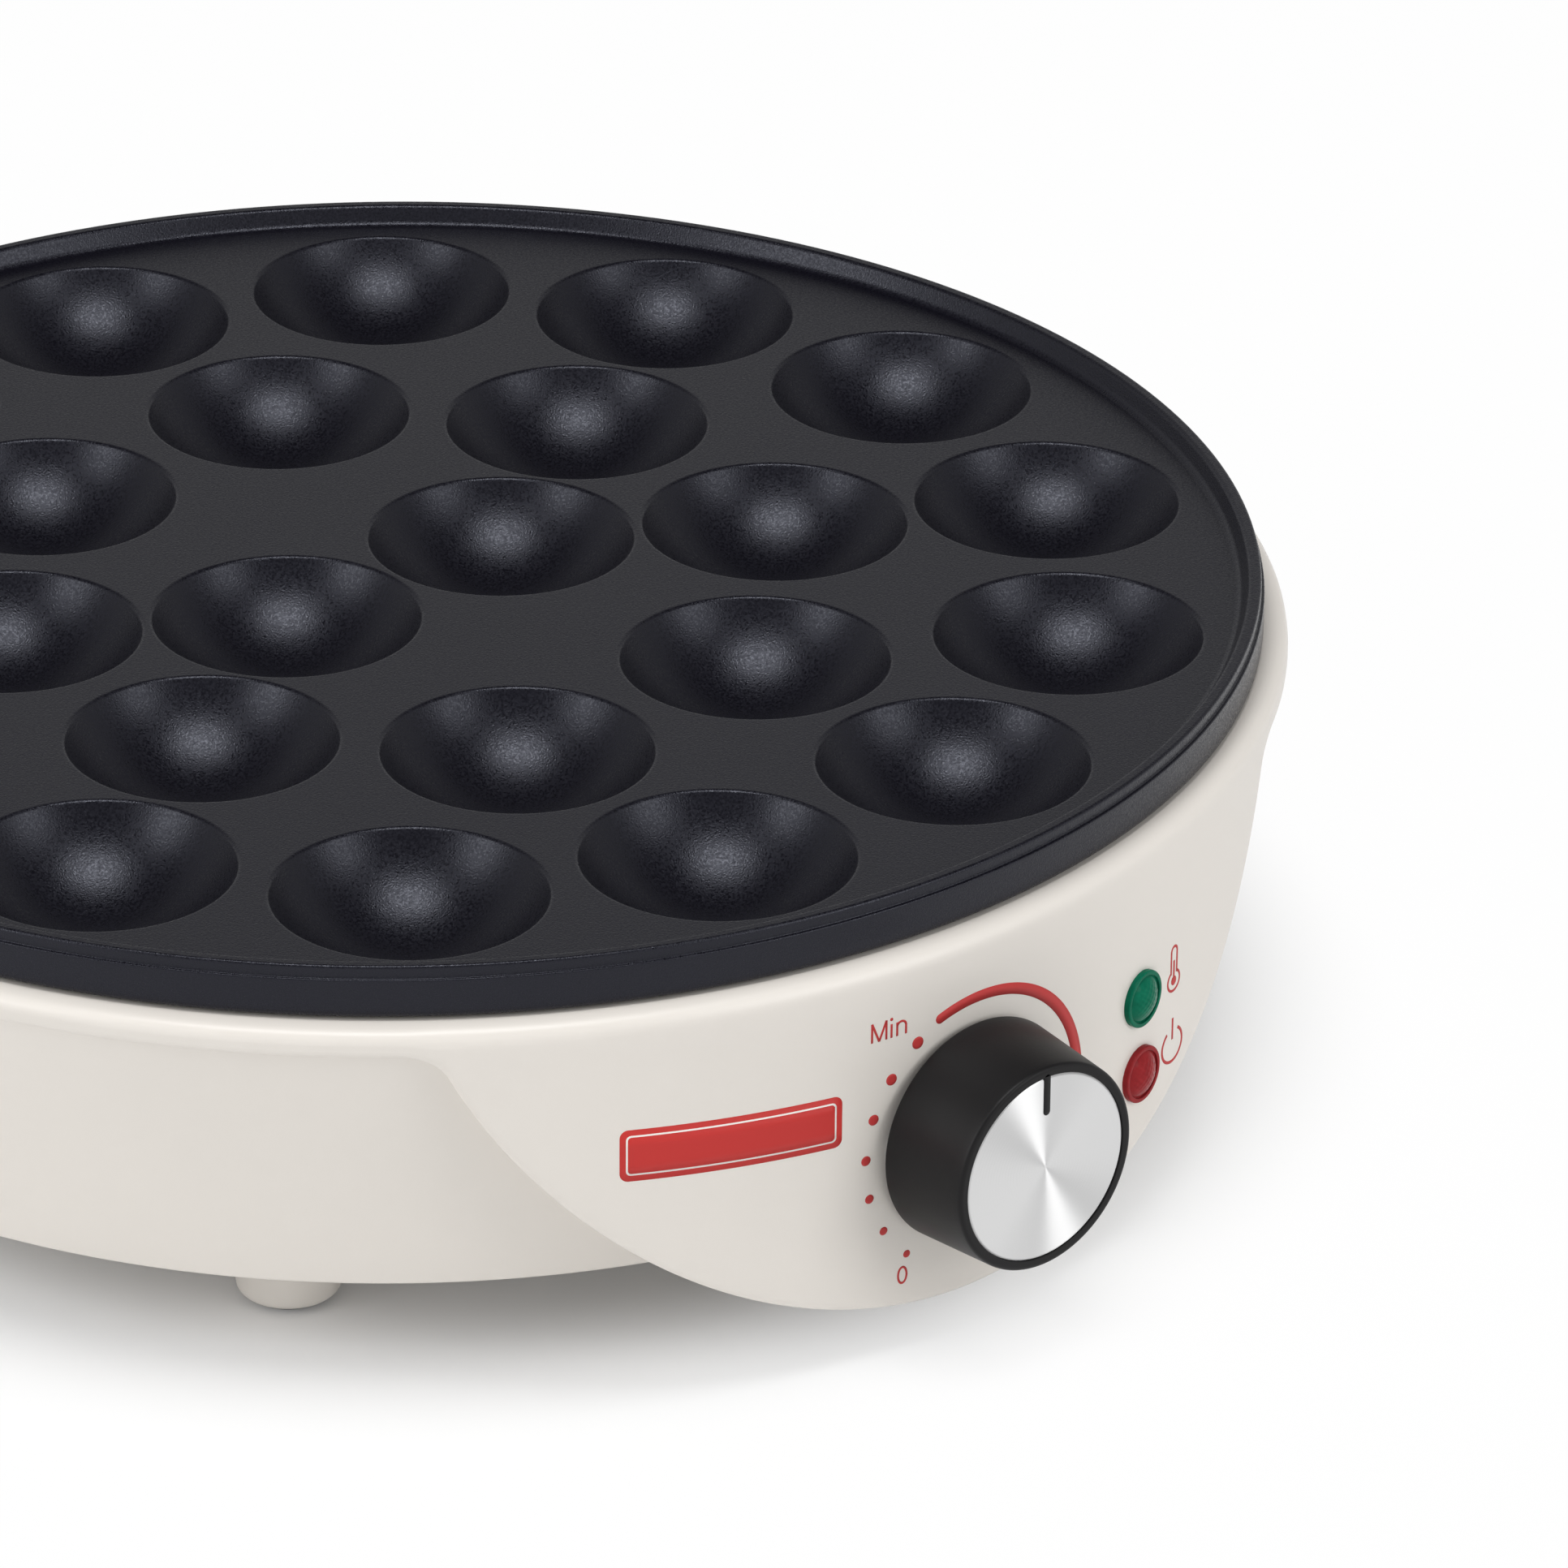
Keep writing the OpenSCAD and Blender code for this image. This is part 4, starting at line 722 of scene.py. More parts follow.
@dataclass
class Casing:
    """Cream drum: band, tapering side and the control panel that comes down from the band.

    Attributes:
        axis_y: Place of the upright axis along Y.
        band_r: Radius of the band and the panel.
        top_z: Height of the top shelf.
        panel_low_z: Lowest point of the panel.
        gland_z: Height of the cord's way in.
        band_h: Height of the band.
        foot_z: Lower edge of the side.
        foot_r: Radius of the side's lower edge.
        shelf_r: Inner radius of the top shelf.
        wall: Wall thickness.
        step: Depth of the step under the band.
        panel_r: Radius of the panel's round outline.
        fillet_r: Radius of the curves that lead the outline into the band.
        root: Least height of the step's root above the side's lower edge.
        free_run: Height over which the panel becomes a wall of its own.
        edge_reach: Reach of the rounding at the panel's edge.
        root_reach: Reach of the rounding at the step's root.
        shoulder: Reach of the rounding at the band's top.
        boss_r: Radius of the gland's boss at its root and face, and of its bore.
        boss_out: Rise of the boss above the side.
        boss_depth: Length of the boss.
        columns: Number of angles of the surface.
    """

    axis_y: float
    band_r: float
    top_z: float
    panel_low_z: float
    gland_z: float
    band_h: float = 4.4 * MM
    foot_z: float = 16.0 * MM
    foot_r: float = 128.3 * MM
    shelf_r: float = 133.3 * MM
    wall: float = 2.5 * MM
    step: float = 2.0 * MM
    panel_r: float = 90.0 * MM
    fillet_r: float = 7.0 * MM
    root: float = 2.0 * MM
    free_run: float = 4.0 * MM
    edge_reach: float = 1.6 * MM
    root_reach: float = 1.8 * MM
    shoulder: float = 3.0 * MM
    boss_r: tuple[float, float, float] = (10.6 * MM, 10.25 * MM, 4.4 * MM)
    boss_out: float = 4.0 * MM
    boss_depth: float = 14.0 * MM
    columns: int = 960

    @classmethod
    def from_frame(cls) -> "Casing":
        """Takes the casing's sizes from its node and the gland's.

        Returns:
            The casing.
        """
        low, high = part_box("casing")
        band_r = (high.x - low.x) / 2
        gland_low, gland_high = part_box("cord_gland")
        gland_z = (gland_low.z + gland_high.z) / 2
        return cls(axis_y=high.y - band_r, band_r=band_r, top_z=high.z, panel_low_z=low.z, gland_z=gland_z)

    @property
    def band_low_z(self) -> float:
        """Height of the band's lower edge."""
        return self.top_z - self.band_h

    def side_r(self, z: Array) -> Array:
        """Gives the radius of the tapering side at height z, on a straight line from foot to band."""
        top_r = self.band_r - self.step
        return self.foot_r + (z - self.foot_z) / (self.band_low_z - self.foot_z) * (top_r - self.foot_r)

    def low_edge(self, angle: Array) -> tuple[Array, Array]:
        """Gives the lower edge of band and panel round the drum, and its slope.

        Seen from the front the panel ends in a circle about a point above it. Two smaller circles lead it
        into the band's lower edge, and elsewhere the edge is level.

        Args:
            angle: Angles from the front, anticlockwise seen from above.

        Returns:
            Heights and slopes of the edge, one for each angle.
        """
        across = np.abs(self.band_r * np.sin(angle))
        centre_z = self.panel_low_z + self.panel_r
        fillet_z = self.band_low_z - self.fillet_r
        fillet_x = np.sqrt((self.panel_r + self.fillet_r) ** 2 - (centre_z - fillet_z) ** 2)
        touch_x = fillet_x * self.panel_r / (self.panel_r + self.fillet_r)
        round_x = np.clip(across, 0, touch_x)
        panel = centre_z - np.sqrt(self.panel_r**2 - round_x**2)
        back = np.clip(fillet_x - across, 0, fillet_x - touch_x)
        lead = fillet_z + np.sqrt(self.fillet_r**2 - back**2)
        front = np.cos(angle) > 0
        beside = np.where(front & (across < fillet_x), lead, self.band_low_z)
        height = np.where(front & (across < touch_x), panel, beside)
        slope = np.gradient(height, self.band_r * (angle[1] - angle[0]))
        return height, slope

    def outlines(self, angle: Array) -> Array:
        """Gives the closed outline of the wall at each angle, with rounded corners.

        The corners run up the side to the step, out to the panel or band, up its face, in over the shoulder
        and down inside. Lower down than the side the panel is a wall of its own.

        Args:
            angle: Angles from the front.

        Returns:
            Points (r, z), shape (angles, n, 2).
        """
        edge, slope = self.low_edge(angle)
        meet = np.maximum(edge, self.foot_z + self.root)
        depth = self.band_r - self.side_r(meet)
        free = smooth((edge - meet + self.free_run) / self.free_run)
        wall = self.wall + (depth / 2 - self.wall) * free
        thick = np.where(depth > self.free_run, wall, depth * 0.6)
        back_r = self.band_r - thick
        inner_low, inner_top = self.foot_r - self.wall, self.side_r(self.band_low_z) - self.wall
        shelf_low = self.top_z - self.wall
        soft = np.minimum(self.edge_reach, 0.95 * thick)
        face = np.minimum(soft * np.sqrt(1 + slope**2), 0.45 * (self.top_z - edge))
        root = np.minimum(self.root_reach, np.minimum(0.9 * (depth - thick), 0.45 * (meet - self.foot_z)))
        shoulder = np.minimum(self.shoulder, 0.5 * (self.top_z - edge))
        rows = (
            (inner_low, self.foot_z, 0.0, 0.0),
            (self.foot_r, self.foot_z, 1.0 * MM, 0.9 * MM),
            (self.side_r(meet), meet, root, root),
            (back_r, meet, 0.0, 0.0),
            (back_r, edge, 0.0, 0.0),
            (self.band_r, edge, soft, face),
            (self.band_r, self.top_z, shoulder, self.shoulder),
            (self.shelf_r, self.top_z, 0.6 * MM, 0.6 * MM),
            (self.shelf_r, shelf_low, 0.4 * MM, 0.4 * MM),
            (inner_top, shelf_low, 0.0, 0.0),
            (inner_low, self.foot_z, 0.0, 0.0),
        )
        table = np.stack([np.stack([value + 0 * angle for value in row], -1) for row in rows], -2)
        return rounded(table[..., :2], table[..., 2:])

    def drum(self) -> Surface:
        """Makes the moulding: the outline (r, z) at angle a from the front goes to (r sin a, -r cos a, z).

        Returns:
            The closed shell about the drum's axis.
        """
        angle = np.linspace(-np.pi, np.pi, self.columns, endpoint=False)
        outline = self.outlines(angle).transpose(1, 0, 2)
        r, z = outline[..., 0], outline[..., 1]
        return Surface.sheet(np.stack([r * np.sin(angle), -r * np.cos(angle), z], -1), around=True)

    def gland_boss(self) -> Surface:
        """Makes the round boss at the rear that the gland sits in, an outline turned about the gland's axis.

        Returns:
            The boss, in place about the drum's axis.
        """
        face = self.side_r(self.gland_z) + self.boss_out
        root = face - self.boss_depth
        root_r, face_r, bore_r = self.boss_r
        corners = [(bore_r, root), (root_r, root), (face_r, face), (bore_r, face), (bore_r, root)]
        place = Matrix.Translation((0.0, 0.0, self.gland_z)) @ Matrix.Rotation(radians(-90), 4, "X")
        return Surface.lathe(corners, (0.0, 0.0, 1.0, 0.3, 0.0), 96).placed(place)

    def build(self) -> None:
        """Puts the moulding in place of the casing's node."""
        whole = Surface.joined([self.drum(), self.gland_boss()])
        piece = whole.placed(Matrix.Translation((0.0, self.axis_y, 0.0))).build("casing_shell")
        settle(piece, Body.CHASSIS, Slot.CREAM, CREAM, "casing")

    def on_panel(self, turn: float, z: float) -> Matrix:
        """Gives the place on the panel's face at an angle and height, with local Z outwards and Y up.

        Args:
            turn: Angle to the right of the front, in degrees.
            z: Height.

        Returns:
            The matrix of the place.
        """
        return (
            Matrix.Translation((0.0, self.axis_y, 0.0))
            @ Matrix.Rotation(radians(turn), 4, "Z")
            @ Matrix.Translation((0.0, -self.band_r, z))
            @ Matrix.Rotation(radians(90), 4, "X")
        )

    def wrapped(self, flat: Surface, proud: float) -> Surface:
        """Lays flat artwork round the panel: (s, z, h) goes to radius R + h at angle s / R from the front.

        Args:
            flat: Artwork with its points (along the panel, height, rise).
            proud: Rise of the artwork above the face.

        Returns:
            The artwork on the panel.
        """
        s, z, h = flat.points.T
        r, a = self.band_r + proud + h, s / self.band_r
        return Surface(np.stack([r * np.sin(a), self.axis_y - r * np.cos(a), z], -1), flat.quads, flat.tris)


@dataclass
class Feet:
    """Four tapered feet with round pads.

    Attributes:
        top_r: Radius at the top.
        low_r: Radius at the lower end.
        pad_r: Radius of a pad.
        room: Gap round a pad.
        recess: Depth of the recess that holds a pad.
        segments: Segments round a foot.
    """

    top_r: float = 9.25 * MM
    low_r: float = 8.25 * MM
    pad_r: float = 5.8 * MM
    room: float = 0.05 * MM
    recess: float = 1.6 * MM
    segments: int = 72

    def build(self) -> None:
        """Puts a foot and a pad, outlines turned about an upright axis, in place of each pair of nodes."""
        hole_r = self.pad_r + self.room
        for corner in ("front_left", "front_right", "rear_left", "rear_right"):
            low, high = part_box("foot_" + corner)
            pad_low, pad_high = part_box("foot_pad_" + corner)
            place = Matrix.Translation(((low.x + high.x) / 2, (low.y + high.y) / 2, 0.0))
            hole_z = low.z + self.recess
            foot = Surface.lathe(
                [
                    (hole_r, hole_z), (hole_r, low.z), (self.low_r, low.z), (self.top_r, high.z),
                    (0.0, high.z), (0.0, hole_z), (hole_r, hole_z),
                ],
                (0.0, 0.15, 1.8, 0.2, 0.0, 0.0, 0.0), self.segments,
            )
            body = foot.placed(place).build("tapered_foot_" + corner)
            settle(body, Body.CHASSIS, Slot.CREAM, CREAM, "foot_" + corner)
            pad = Surface.lathe(
                [(0.0, pad_low.z), (self.pad_r, pad_low.z), (self.pad_r, pad_high.z), (0.0, pad_high.z)],
                (0.0, 0.5, 0.2, 0.0), self.segments,
            )
            sole = pad.placed(place).build("sole_pad_" + corner)
            settle(sole, Body.CHASSIS, Slot.PAD, PAD_RUBBER, "foot_pad_" + corner)


def pill(length: float, width: float, rise: float, segments: int = 12) -> Surface:
    """Makes a bar with round ends and a closed top and bottom, about the origin.

    The outline is two half circles a length apart. It is drawn in to its middle line below and above.

    Args:
        length: Length over the round ends.
        width: Width.
        rise: Height.
        segments: Points round each end.

    Returns:
        The bar, lying along X with its bottom on z = 0.
    """
    half = np.linspace(-np.pi / 2, np.pi / 2, segments)
    r, run = width / 2, (length - width) / 2
    right = np.stack([run + r * np.cos(half), r * np.sin(half)], -1)
    ring = np.concatenate([right, -right])
    spine = np.stack([np.clip(ring[:, 0], -run, run), 0 * ring[:, 1]], -1)
    inner = spine + (ring - spine) * 0.9
    rows = [(spine, 0.0), (ring, 0.0), (ring, 0.7 * rise), (inner, rise), (spine, rise)]
    grid = np.stack([np.concatenate([flat, np.full((len(flat), 1), z)], 1) for flat, z in rows])
    return Surface.sheet(grid, around=True)


@dataclass
class ControlKnob:
    """Black knob with a spun metal face and a pointer.

    Attributes:
        casing: Casing that carries the knob.
        z: Height of the knob's axis.
        back: Rise of the knob's back above the panel.
        front: Rise of the knob's front above the panel.
        back_r: Radius at the back.
        front_r: Radius at the front.
        skirt: Wall of the hollow at the back, and its depth.
        face_r: Radius of the metal face.
        face_room: Gap round the metal face.
        seat: Depth of the seat for the metal face.
        face_sunk: How far the metal face lies below the front.
        face_h: Thickness of the metal face.
        bevel: Width and height of the metal face's bevel.
        pointer: Length, width and height of the pointer.
        pointer_out: How far the pointer runs past the metal face.
        segments: Segments round the knob.
    """

    casing: Casing
    z: float
    back: float = 0.9 * MM
    front: float = 17.4 * MM
    back_r: float = 18.5 * MM
    front_r: float = 17.3 * MM
    skirt: Pair = (2.0 * MM, 3.0 * MM)
    face_r: float = 15.65 * MM
    face_room: float = 0.05 * MM
    seat: float = 0.9 * MM
    face_sunk: float = 0.1 * MM
    face_h: float = 0.8 * MM
    bevel: Pair = (0.35 * MM, 0.25 * MM)
    pointer: tuple[float, float, float] = (7.15 * MM, 1.3 * MM, 0.12 * MM)
    pointer_out: float = 0.6 * MM
    segments: int = 144

    def body(self) -> Surface:
        """Makes the knob's body, an outline turned about its axis, and the pointer bar.

        Returns:
            The body about its own axis.
        """
        hollow_r, hollow_z = self.back_r - self.skirt[0], self.back + self.skirt[1]
        seat_r, seat_z = self.face_r + self.face_room, self.front - self.seat
        corners = [
            (0.0, hollow_z), (hollow_r, hollow_z), (hollow_r, self.back), (self.back_r, self.back),
            (self.front_r, self.front), (seat_r, self.front), (seat_r, seat_z), (0.0, seat_z),
        ]
        turned = Surface.lathe(corners, (0.0, 0.3, 0.2, 0.4, 0.7, 0.15, 0.1, 0.0), self.segments)
        length, width, rise = self.pointer
        middle = (0.0, self.face_r + self.pointer_out - length / 2, self.front - rise)
        place = Matrix.Translation(middle) @ Matrix.Rotation(radians(90), 4, "Z")
        return Surface.joined([turned, pill(length, width, rise).placed(place)])

    def face(self) -> Surface:
        """Makes the metal face, a disc with a bevelled edge, turned about its axis.

        Returns:
            The disc about its own axis.
        """
        top = self.front - self.face_sunk
        low = top - self.face_h
        corners = [
            (0.0, low), (self.face_r, low), (self.face_r, top - self.bevel[1]),
            (self.face_r - self.bevel[0], top), (0.0, top),
        ]
        along = (0.02, 0.3, 0.7, 0.98)
        return Surface.lathe(corners, (0.0, 0.0, 0.08, 0.12, 0.0), self.segments, along=along)

    def build(self) -> None:
        """Puts the knob and its face in place of their nodes."""
        place = self.casing.on_panel(0.0, self.z)
        settle(self.body().placed(place).build("knob_body"), Body.KNOB, Slot.KNOB, KNOB_BLACK, "knob")
        spun = replace(SPUN, axis_z=self.z)
        settle(self.face().placed(place).build("knob_disc"), Body.KNOB, Slot.SPUN, spun, "knob_face")


@dataclass
class Lamp:
    """Signal lamp: a domed lens with a rim and a pebbled middle.

    Attributes:
        casing: Casing that carries the lamp.
        name: Name of the lens node.
        piece: Name of the new piece.
        slot: Slot of the lens.
        finish: Finish of the lens.
        turn: Angle to the right of the front, in degrees.
        r: Radius of the rim.
        neck: How far the neck stands in from the rim, and its depth.
        sunk: How far the rim's back lies below the panel.
        rim: Width and rise of the rim.
        dome: Rise of the dome's foot, and its height.
        pebble: Distance between pebbles, and their height.
    """

    casing: Casing
    name: str
    piece: str
    slot: Slot
    finish: Finish
    turn: float = 15.8
    r: float = 4.75 * MM
    neck: Pair = (0.6 * MM, 9.0 * MM)
    sunk: float = 0.2 * MM
    rim: Pair = (0.75 * MM, 0.9 * MM)
    dome: Pair = (0.5 * MM, 1.5 * MM)
    pebble: Pair = (1.1 * MM, 0.05 * MM)

    def lens(self) -> Surface:
        """Makes the lens, an outline turned about its axis.

        The dome's height is h0 (1 - (r / r0) squared), and pebbles h1 cos u cos v stand on it, where u and v
        run across it at right angles.

        Returns:
            The lens about its own axis.
        """
        neck_r, dome_r = self.r - self.neck[0], self.r - self.rim[0]
        corners = np.array([
            (0.0, -self.neck[1]), (neck_r, -self.neck[1]), (neck_r, -self.sunk), (self.r, -self.sunk),
            (self.r, self.rim[1]), (dome_r, self.rim[1]), (dome_r, self.dome[0]),
        ])
        edge = rounded(corners, np.array([0.0, 0.2, 0.1, 0.1, 0.3, 0.12, 0.0]) * MM)
        r = np.linspace(dome_r, 0, 25)[1:]
        dome = np.stack([r, self.dome[0] + self.dome[1] * (1 - (r / dome_r) ** 2)], -1)
        made = Surface.turned(np.concatenate([edge, dome]), 96)
        x, y, z = made.points.T
        wave = 2 * np.pi / self.pebble[0]
        fade = smooth((0.85 * dome_r - np.hypot(x, y)) / (0.2 * dome_r)) * (z > 0.3 * MM)
        made.points = np.stack([x, y, z + self.pebble[1] * np.cos(wave * x) * np.cos(wave * y) * fade], -1)
        return made

    def build(self) -> None:
        """Puts the lens in place of its node."""
        low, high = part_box(self.name)
        place = self.casing.on_panel(self.turn, (low.z + high.z) / 2)
        settle(self.lens().placed(place).build(self.piece), Body.CHASSIS, self.slot, self.finish, self.name)


@dataclass
class PanelPrint:
    """Red print on the control panel: scale dots, tapered arc, words, signs and a plain label.

    Places on the panel are pairs: along the panel from the front, and height.

    Attributes:
        casing: Casing that carries the print.
        knob_z: Height of the knob's axis.
        dot_r: Radius of the ring of dots.
        dot_centre: Middle of that ring, along the panel and above the knob's axis.
        dot_turns: Angles of the first and last dot to the right of straight up, in degrees.
        dot_sizes: Radius of the first and last dot.
        dots: Number of dots.
        arc_r: Radius of the arc.
        arc_centre: Middle of the arc, along the panel and above the knob's axis.
        arc_turns: First and last angle of the arc, in degrees.
        arc_halves: Half width of the arc at its start and end.
        word_at: Lower left corner of the word.
        word_h: Height of its capital.
        word_w: Stroke of the words.
        nought: Middle of the nought.
        nought_half: Half width and half height of the nought.
        sign_x: Place of both signs along the panel.
        warm_z: Height of the thermometer sign.
        power_z: Height of the power sign.
        sign_w: Stroke of the signs.
        label_at: Middle of the label.
        label_size: Length and height of the label.
        label_lean: Fall of the label to the right, over its length.
        proud: Rise of the ink above the panel.
        ink: Thickness of the ink, which sinks a little into the panel.
    """

    casing: Casing
    knob_z: float
    dot_r: float = 23.85 * MM
    dot_centre: Pair = (3.5 * MM, -1.0 * MM)
    dot_turns: Pair = (-37.4, -137.8)
    dot_sizes: Pair = (1.05 * MM, 0.65 * MM)
    dots: int = 7
    arc_r: float = 22.05 * MM
    arc_centre: Pair = (1.1 * MM, 0.2 * MM)
    arc_turns: Pair = (-23.0, 98.0)
    arc_halves: Pair = (0.85 * MM, 1.15 * MM)
    word_at: Pair = (-19.5 * MM, 55.7 * MM)
    word_h: float = 3.3 * MM
    word_w: float = 0.38 * MM
    nought: Pair = (-13.3 * MM, 13.2 * MM)
    nought_half: Pair = (0.8 * MM, 1.4 * MM)
    sign_x: float = 49.8 * MM
    warm_z: float = 42.7 * MM
    power_z: float = 29.2 * MM
    sign_w: float = 0.45 * MM
    label_at: Pair = (-43.1 * MM, 44.3 * MM)
    label_size: Pair = (36.8 * MM, 8.9 * MM)
    label_lean: float = 0.034
    proud: float = 0.03 * MM
    ink: float = 0.05 * MM

    @staticmethod
    def stroke(path: Array, half: Array) -> Surface:
        """Draws a stroke: points of the path moved to both sides by half the width, square to the path.

        Args:
            path: Points along the stroke.
            half: Half width at each point.

        Returns:
            The flat stroke.
        """
        way = np.gradient(path, axis=0)
        way = way / np.linalg.norm(way, axis=1, keepdims=True)
        side = np.stack([-way[:, 1], way[:, 0]], -1) * half[:, None]
        return Surface.level(np.stack([path - side, path + side]))

    @staticmethod
    def disc(centre: Sequence[float], r: float) -> Surface:
        """Draws a round dot: rings of r (cos a, sin a) about its centre."""
        ring = np.array([1.0, 0.5, 0.0])[:, None, None] * r * circle(24) + np.array(centre)
        return Surface.level(ring, around=True)

    @classmethod
    def line(cls, first: Pair, last: Pair, width: float) -> Surface:
        """Draws a straight stroke between two points, in steps short enough to bend round the panel."""
        t = np.linspace(0, 1, 5)[:, None]
        return cls.stroke(np.array(first) + (np.array(last) - np.array(first)) * t, np.full(5, width / 2))

    @classmethod
    def bow(cls, centre: Pair, radii: Pair, turn: Pair, width: float) -> Surface:
        """Draws part of an ellipse: centre + (rx cos a, rz sin a) for angles a in degrees.

        Args:
            centre: Middle of the ellipse.
            radii: Half sizes along the panel and upwards.
            turn: First and last angle.
            width: Width of the stroke.

        Returns:
            The flat stroke.
        """
        a = np.radians(np.linspace(*turn, 33))
        path = np.array(centre) + np.stack([radii[0] * np.cos(a), radii[1] * np.sin(a)], -1)
        return cls.stroke(path, np.full(33, width / 2))

    def around_knob(self, centre: Pair, degrees: Array, r: float) -> Array:
        """Gives points on a circle near the knob: centre + r (sin a, cos a) for angles a in degrees.

        Args:
            centre: Middle of the circle, along the panel and above the knob's axis.
            degrees: Angles to the right of straight up.
            r: Radius of the circle.

        Returns:
            Points, one to a row.
        """
        a = np.radians(degrees)
        return np.stack([centre[0] + r * np.sin(a), self.knob_z + centre[1] + r * np.cos(a)], -1)

    def scale(self) -> Surface:
        """Draws the dots, which shrink away from the least setting, and the tapered arc after them.

        Returns:
            The flat scale.
        """
        sizes = np.linspace(*self.dot_sizes, self.dots).tolist()
        middles = self.around_knob(self.dot_centre, np.linspace(*self.dot_turns, self.dots), self.dot_r)
        dots = [self.disc(middle, size) for middle, size in zip(middles, sizes)]
        t = eased(129)
        first, last = self.arc_turns
        arc = self.around_knob(self.arc_centre, first + (last - first) * t, self.arc_r)
        thin, wide = self.arc_halves
        half = thin + (wide - thin) * t
        gone = np.concatenate([[0.0], np.cumsum(np.linalg.norm(np.diff(arc, axis=0), axis=1))])
        cap = np.clip(np.minimum(gone, gone[-1] - gone) / half, 0, 1)
        return Surface.joined([*dots, self.stroke(arc, half * np.sqrt(1 - (1 - cap) ** 2))])

    def words(self) -> Surface:
        """Draws the least setting's word and the nought at the far end of the dots, stroke by stroke.

        Returns:
            The flat words.
        """
        (x, z), h, w = self.word_at, self.word_h, self.word_w
        small, wide, bend, point = 0.72 * h, 2.6 * MM, 0.82 * MM, 0.28 * MM
        stem, foot, turn = x + wide + 0.95 * MM, x + wide + 2.0 * MM, z + small - bend
        strokes = (
            ((x, z), (x, z + h)),
            ((x, z + h), (x + wide / 2, z)),
            ((x + wide / 2, z), (x + wide, z + h)),
            ((x + wide, z + h), (x + wide, z)),
            ((stem, z), (stem, z + small)),
            ((foot, z), (foot, z + small)),
            ((foot + 2 * bend, turn), (foot + 2 * bend, z)),
        )
        return Surface.joined([
            *(self.line(first, last, w) for first, last in strokes),
            self.disc((stem, z + h - 0.1 * MM), point),
            self.bow((foot + bend, turn), (bend, bend), (180, 0), w),
            self.bow(self.nought, self.nought_half, (0, 360), w),
        ])

    def signs(self) -> Surface:
        """Draws the thermometer beside the upper lamp and the power sign beside the lower one.

        Returns:
            The flat signs.
        """
        x, w, bold = self.sign_x, self.sign_w, 1.15 * self.sign_w
        tube, bulb_z = 0.9 * MM, self.warm_z - 2.0 * MM
        low, high = self.warm_z - 0.75 * MM, self.warm_z + 3.2 * MM
        return Surface.joined([
            self.bow((x, bulb_z), (1.9 * MM, 1.75 * MM), (120, 420), w),
            self.line((x - tube, low), (x - tube, high), w),
            self.line((x + tube, low), (x + tube, high), w),
            self.bow((x, high), (tube, tube), (0, 180), w),
            self.disc((x, bulb_z), 0.8 * MM),
            self.line((x, self.warm_z - 1.8 * MM), (x, self.warm_z + 1.6 * MM), 0.5 * MM),
            self.bow((x, self.power_z), (3.2 * MM, 2.9 * MM), (122, 418), bold),
            self.line((x, self.power_z + 1.0 * MM), (x, self.power_z + 4.8 * MM), bold),
        ])

    def plaque(self, inset: float, corner: float) -> Surface:
        """Draws the label or a smaller plate on it.

        At each place along the plate, its height shrinks as a circle does near the ends, for round corners.

        Args:
            inset: How far the plate stands in from the label's edge.
            corner: Radius of the corners.

        Returns:
            The flat plate.
        """
        length, height = self.label_size[0] - 2 * inset, self.label_size[1] - 2 * inset
        s = (eased(64) - 0.5) * length
        past = np.clip(np.abs(s) - (length / 2 - corner), 0, corner)
        half = height / 2 - corner + np.sqrt(np.maximum(corner**2 - past**2, 0))
        rise = np.linspace(-1, 1, 5)[:, None] * half - self.label_lean * s
        along = np.broadcast_to(s, rise.shape)
        return Surface.level(np.stack([along, rise], -1) + np.array(self.label_at))

    def build(self) -> None:
        """Puts the print on the panel."""
        layers = (
            ("dial_scale", self.scale(), 0.0, PRINT_RED),
            ("dial_words", self.words(), 0.0, PRINT_RED),
            ("lamp_signs", self.signs(), 0.0, PRINT_RED),
            ("label_field", self.plaque(0.0, 1.4 * MM), 0.0, LABEL_RED),
            ("label_line", self.plaque(1.0 * MM, 0.8 * MM), 0.6, LABEL_PALE),
            ("label_middle", self.plaque(1.3 * MM, 0.6 * MM), 1.2, LABEL_RED),
        )
        for name, flat, level, finish in layers:
            drawn = self.casing.wrapped(flat, self.proud * (1 + level)).build(name)
            settle(thicken(drawn, self.ink), Body.CHASSIS, None, finish)


@dataclass
class CordGland:
    """Rubber gland in the rear wall, with a tapered flange.

    Attributes:
        bore_r: Radius of its bore.
        neck_r: Radius of the neck in the wall.
        flange: Thickness of the flange.
        edge: Thickness of the flange's edge that tapers.
        taper: Width of the taper.
    """

    bore_r: float = 3.6 * MM
    neck_r: float = 4.3 * MM
    flange: float = 2.0 * MM
    edge: float = 0.7 * MM
    taper: float = 2.6 * MM

    def build(self) -> None:
        """Puts the gland, an outline turned about its axis, in place of its node."""
        low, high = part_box("cord_gland")
        outer, back = (high.x - low.x) / 2, high.y - self.flange
        corners = [
            (self.bore_r, low.y), (self.neck_r, low.y), (self.neck_r, back), (outer, back),
            (outer, high.y - self.edge), (outer - self.taper, high.y), (self.bore_r, high.y),
            (self.bore_r, low.y),
        ]
        turned = Surface.lathe(corners, (0.0, 0.1, 0.0, 0.15, 0.4, 0.5, 0.3, 0.0), 72)
        place = Matrix.Translation((0.0, 0.0, (low.z + high.z) / 2)) @ Matrix.Rotation(radians(-90), 4, "X")
        settle(turned.placed(place).build("gland_sleeve"), Body.CHASSIS, Slot.GLAND, GLAND, "cord_gland")


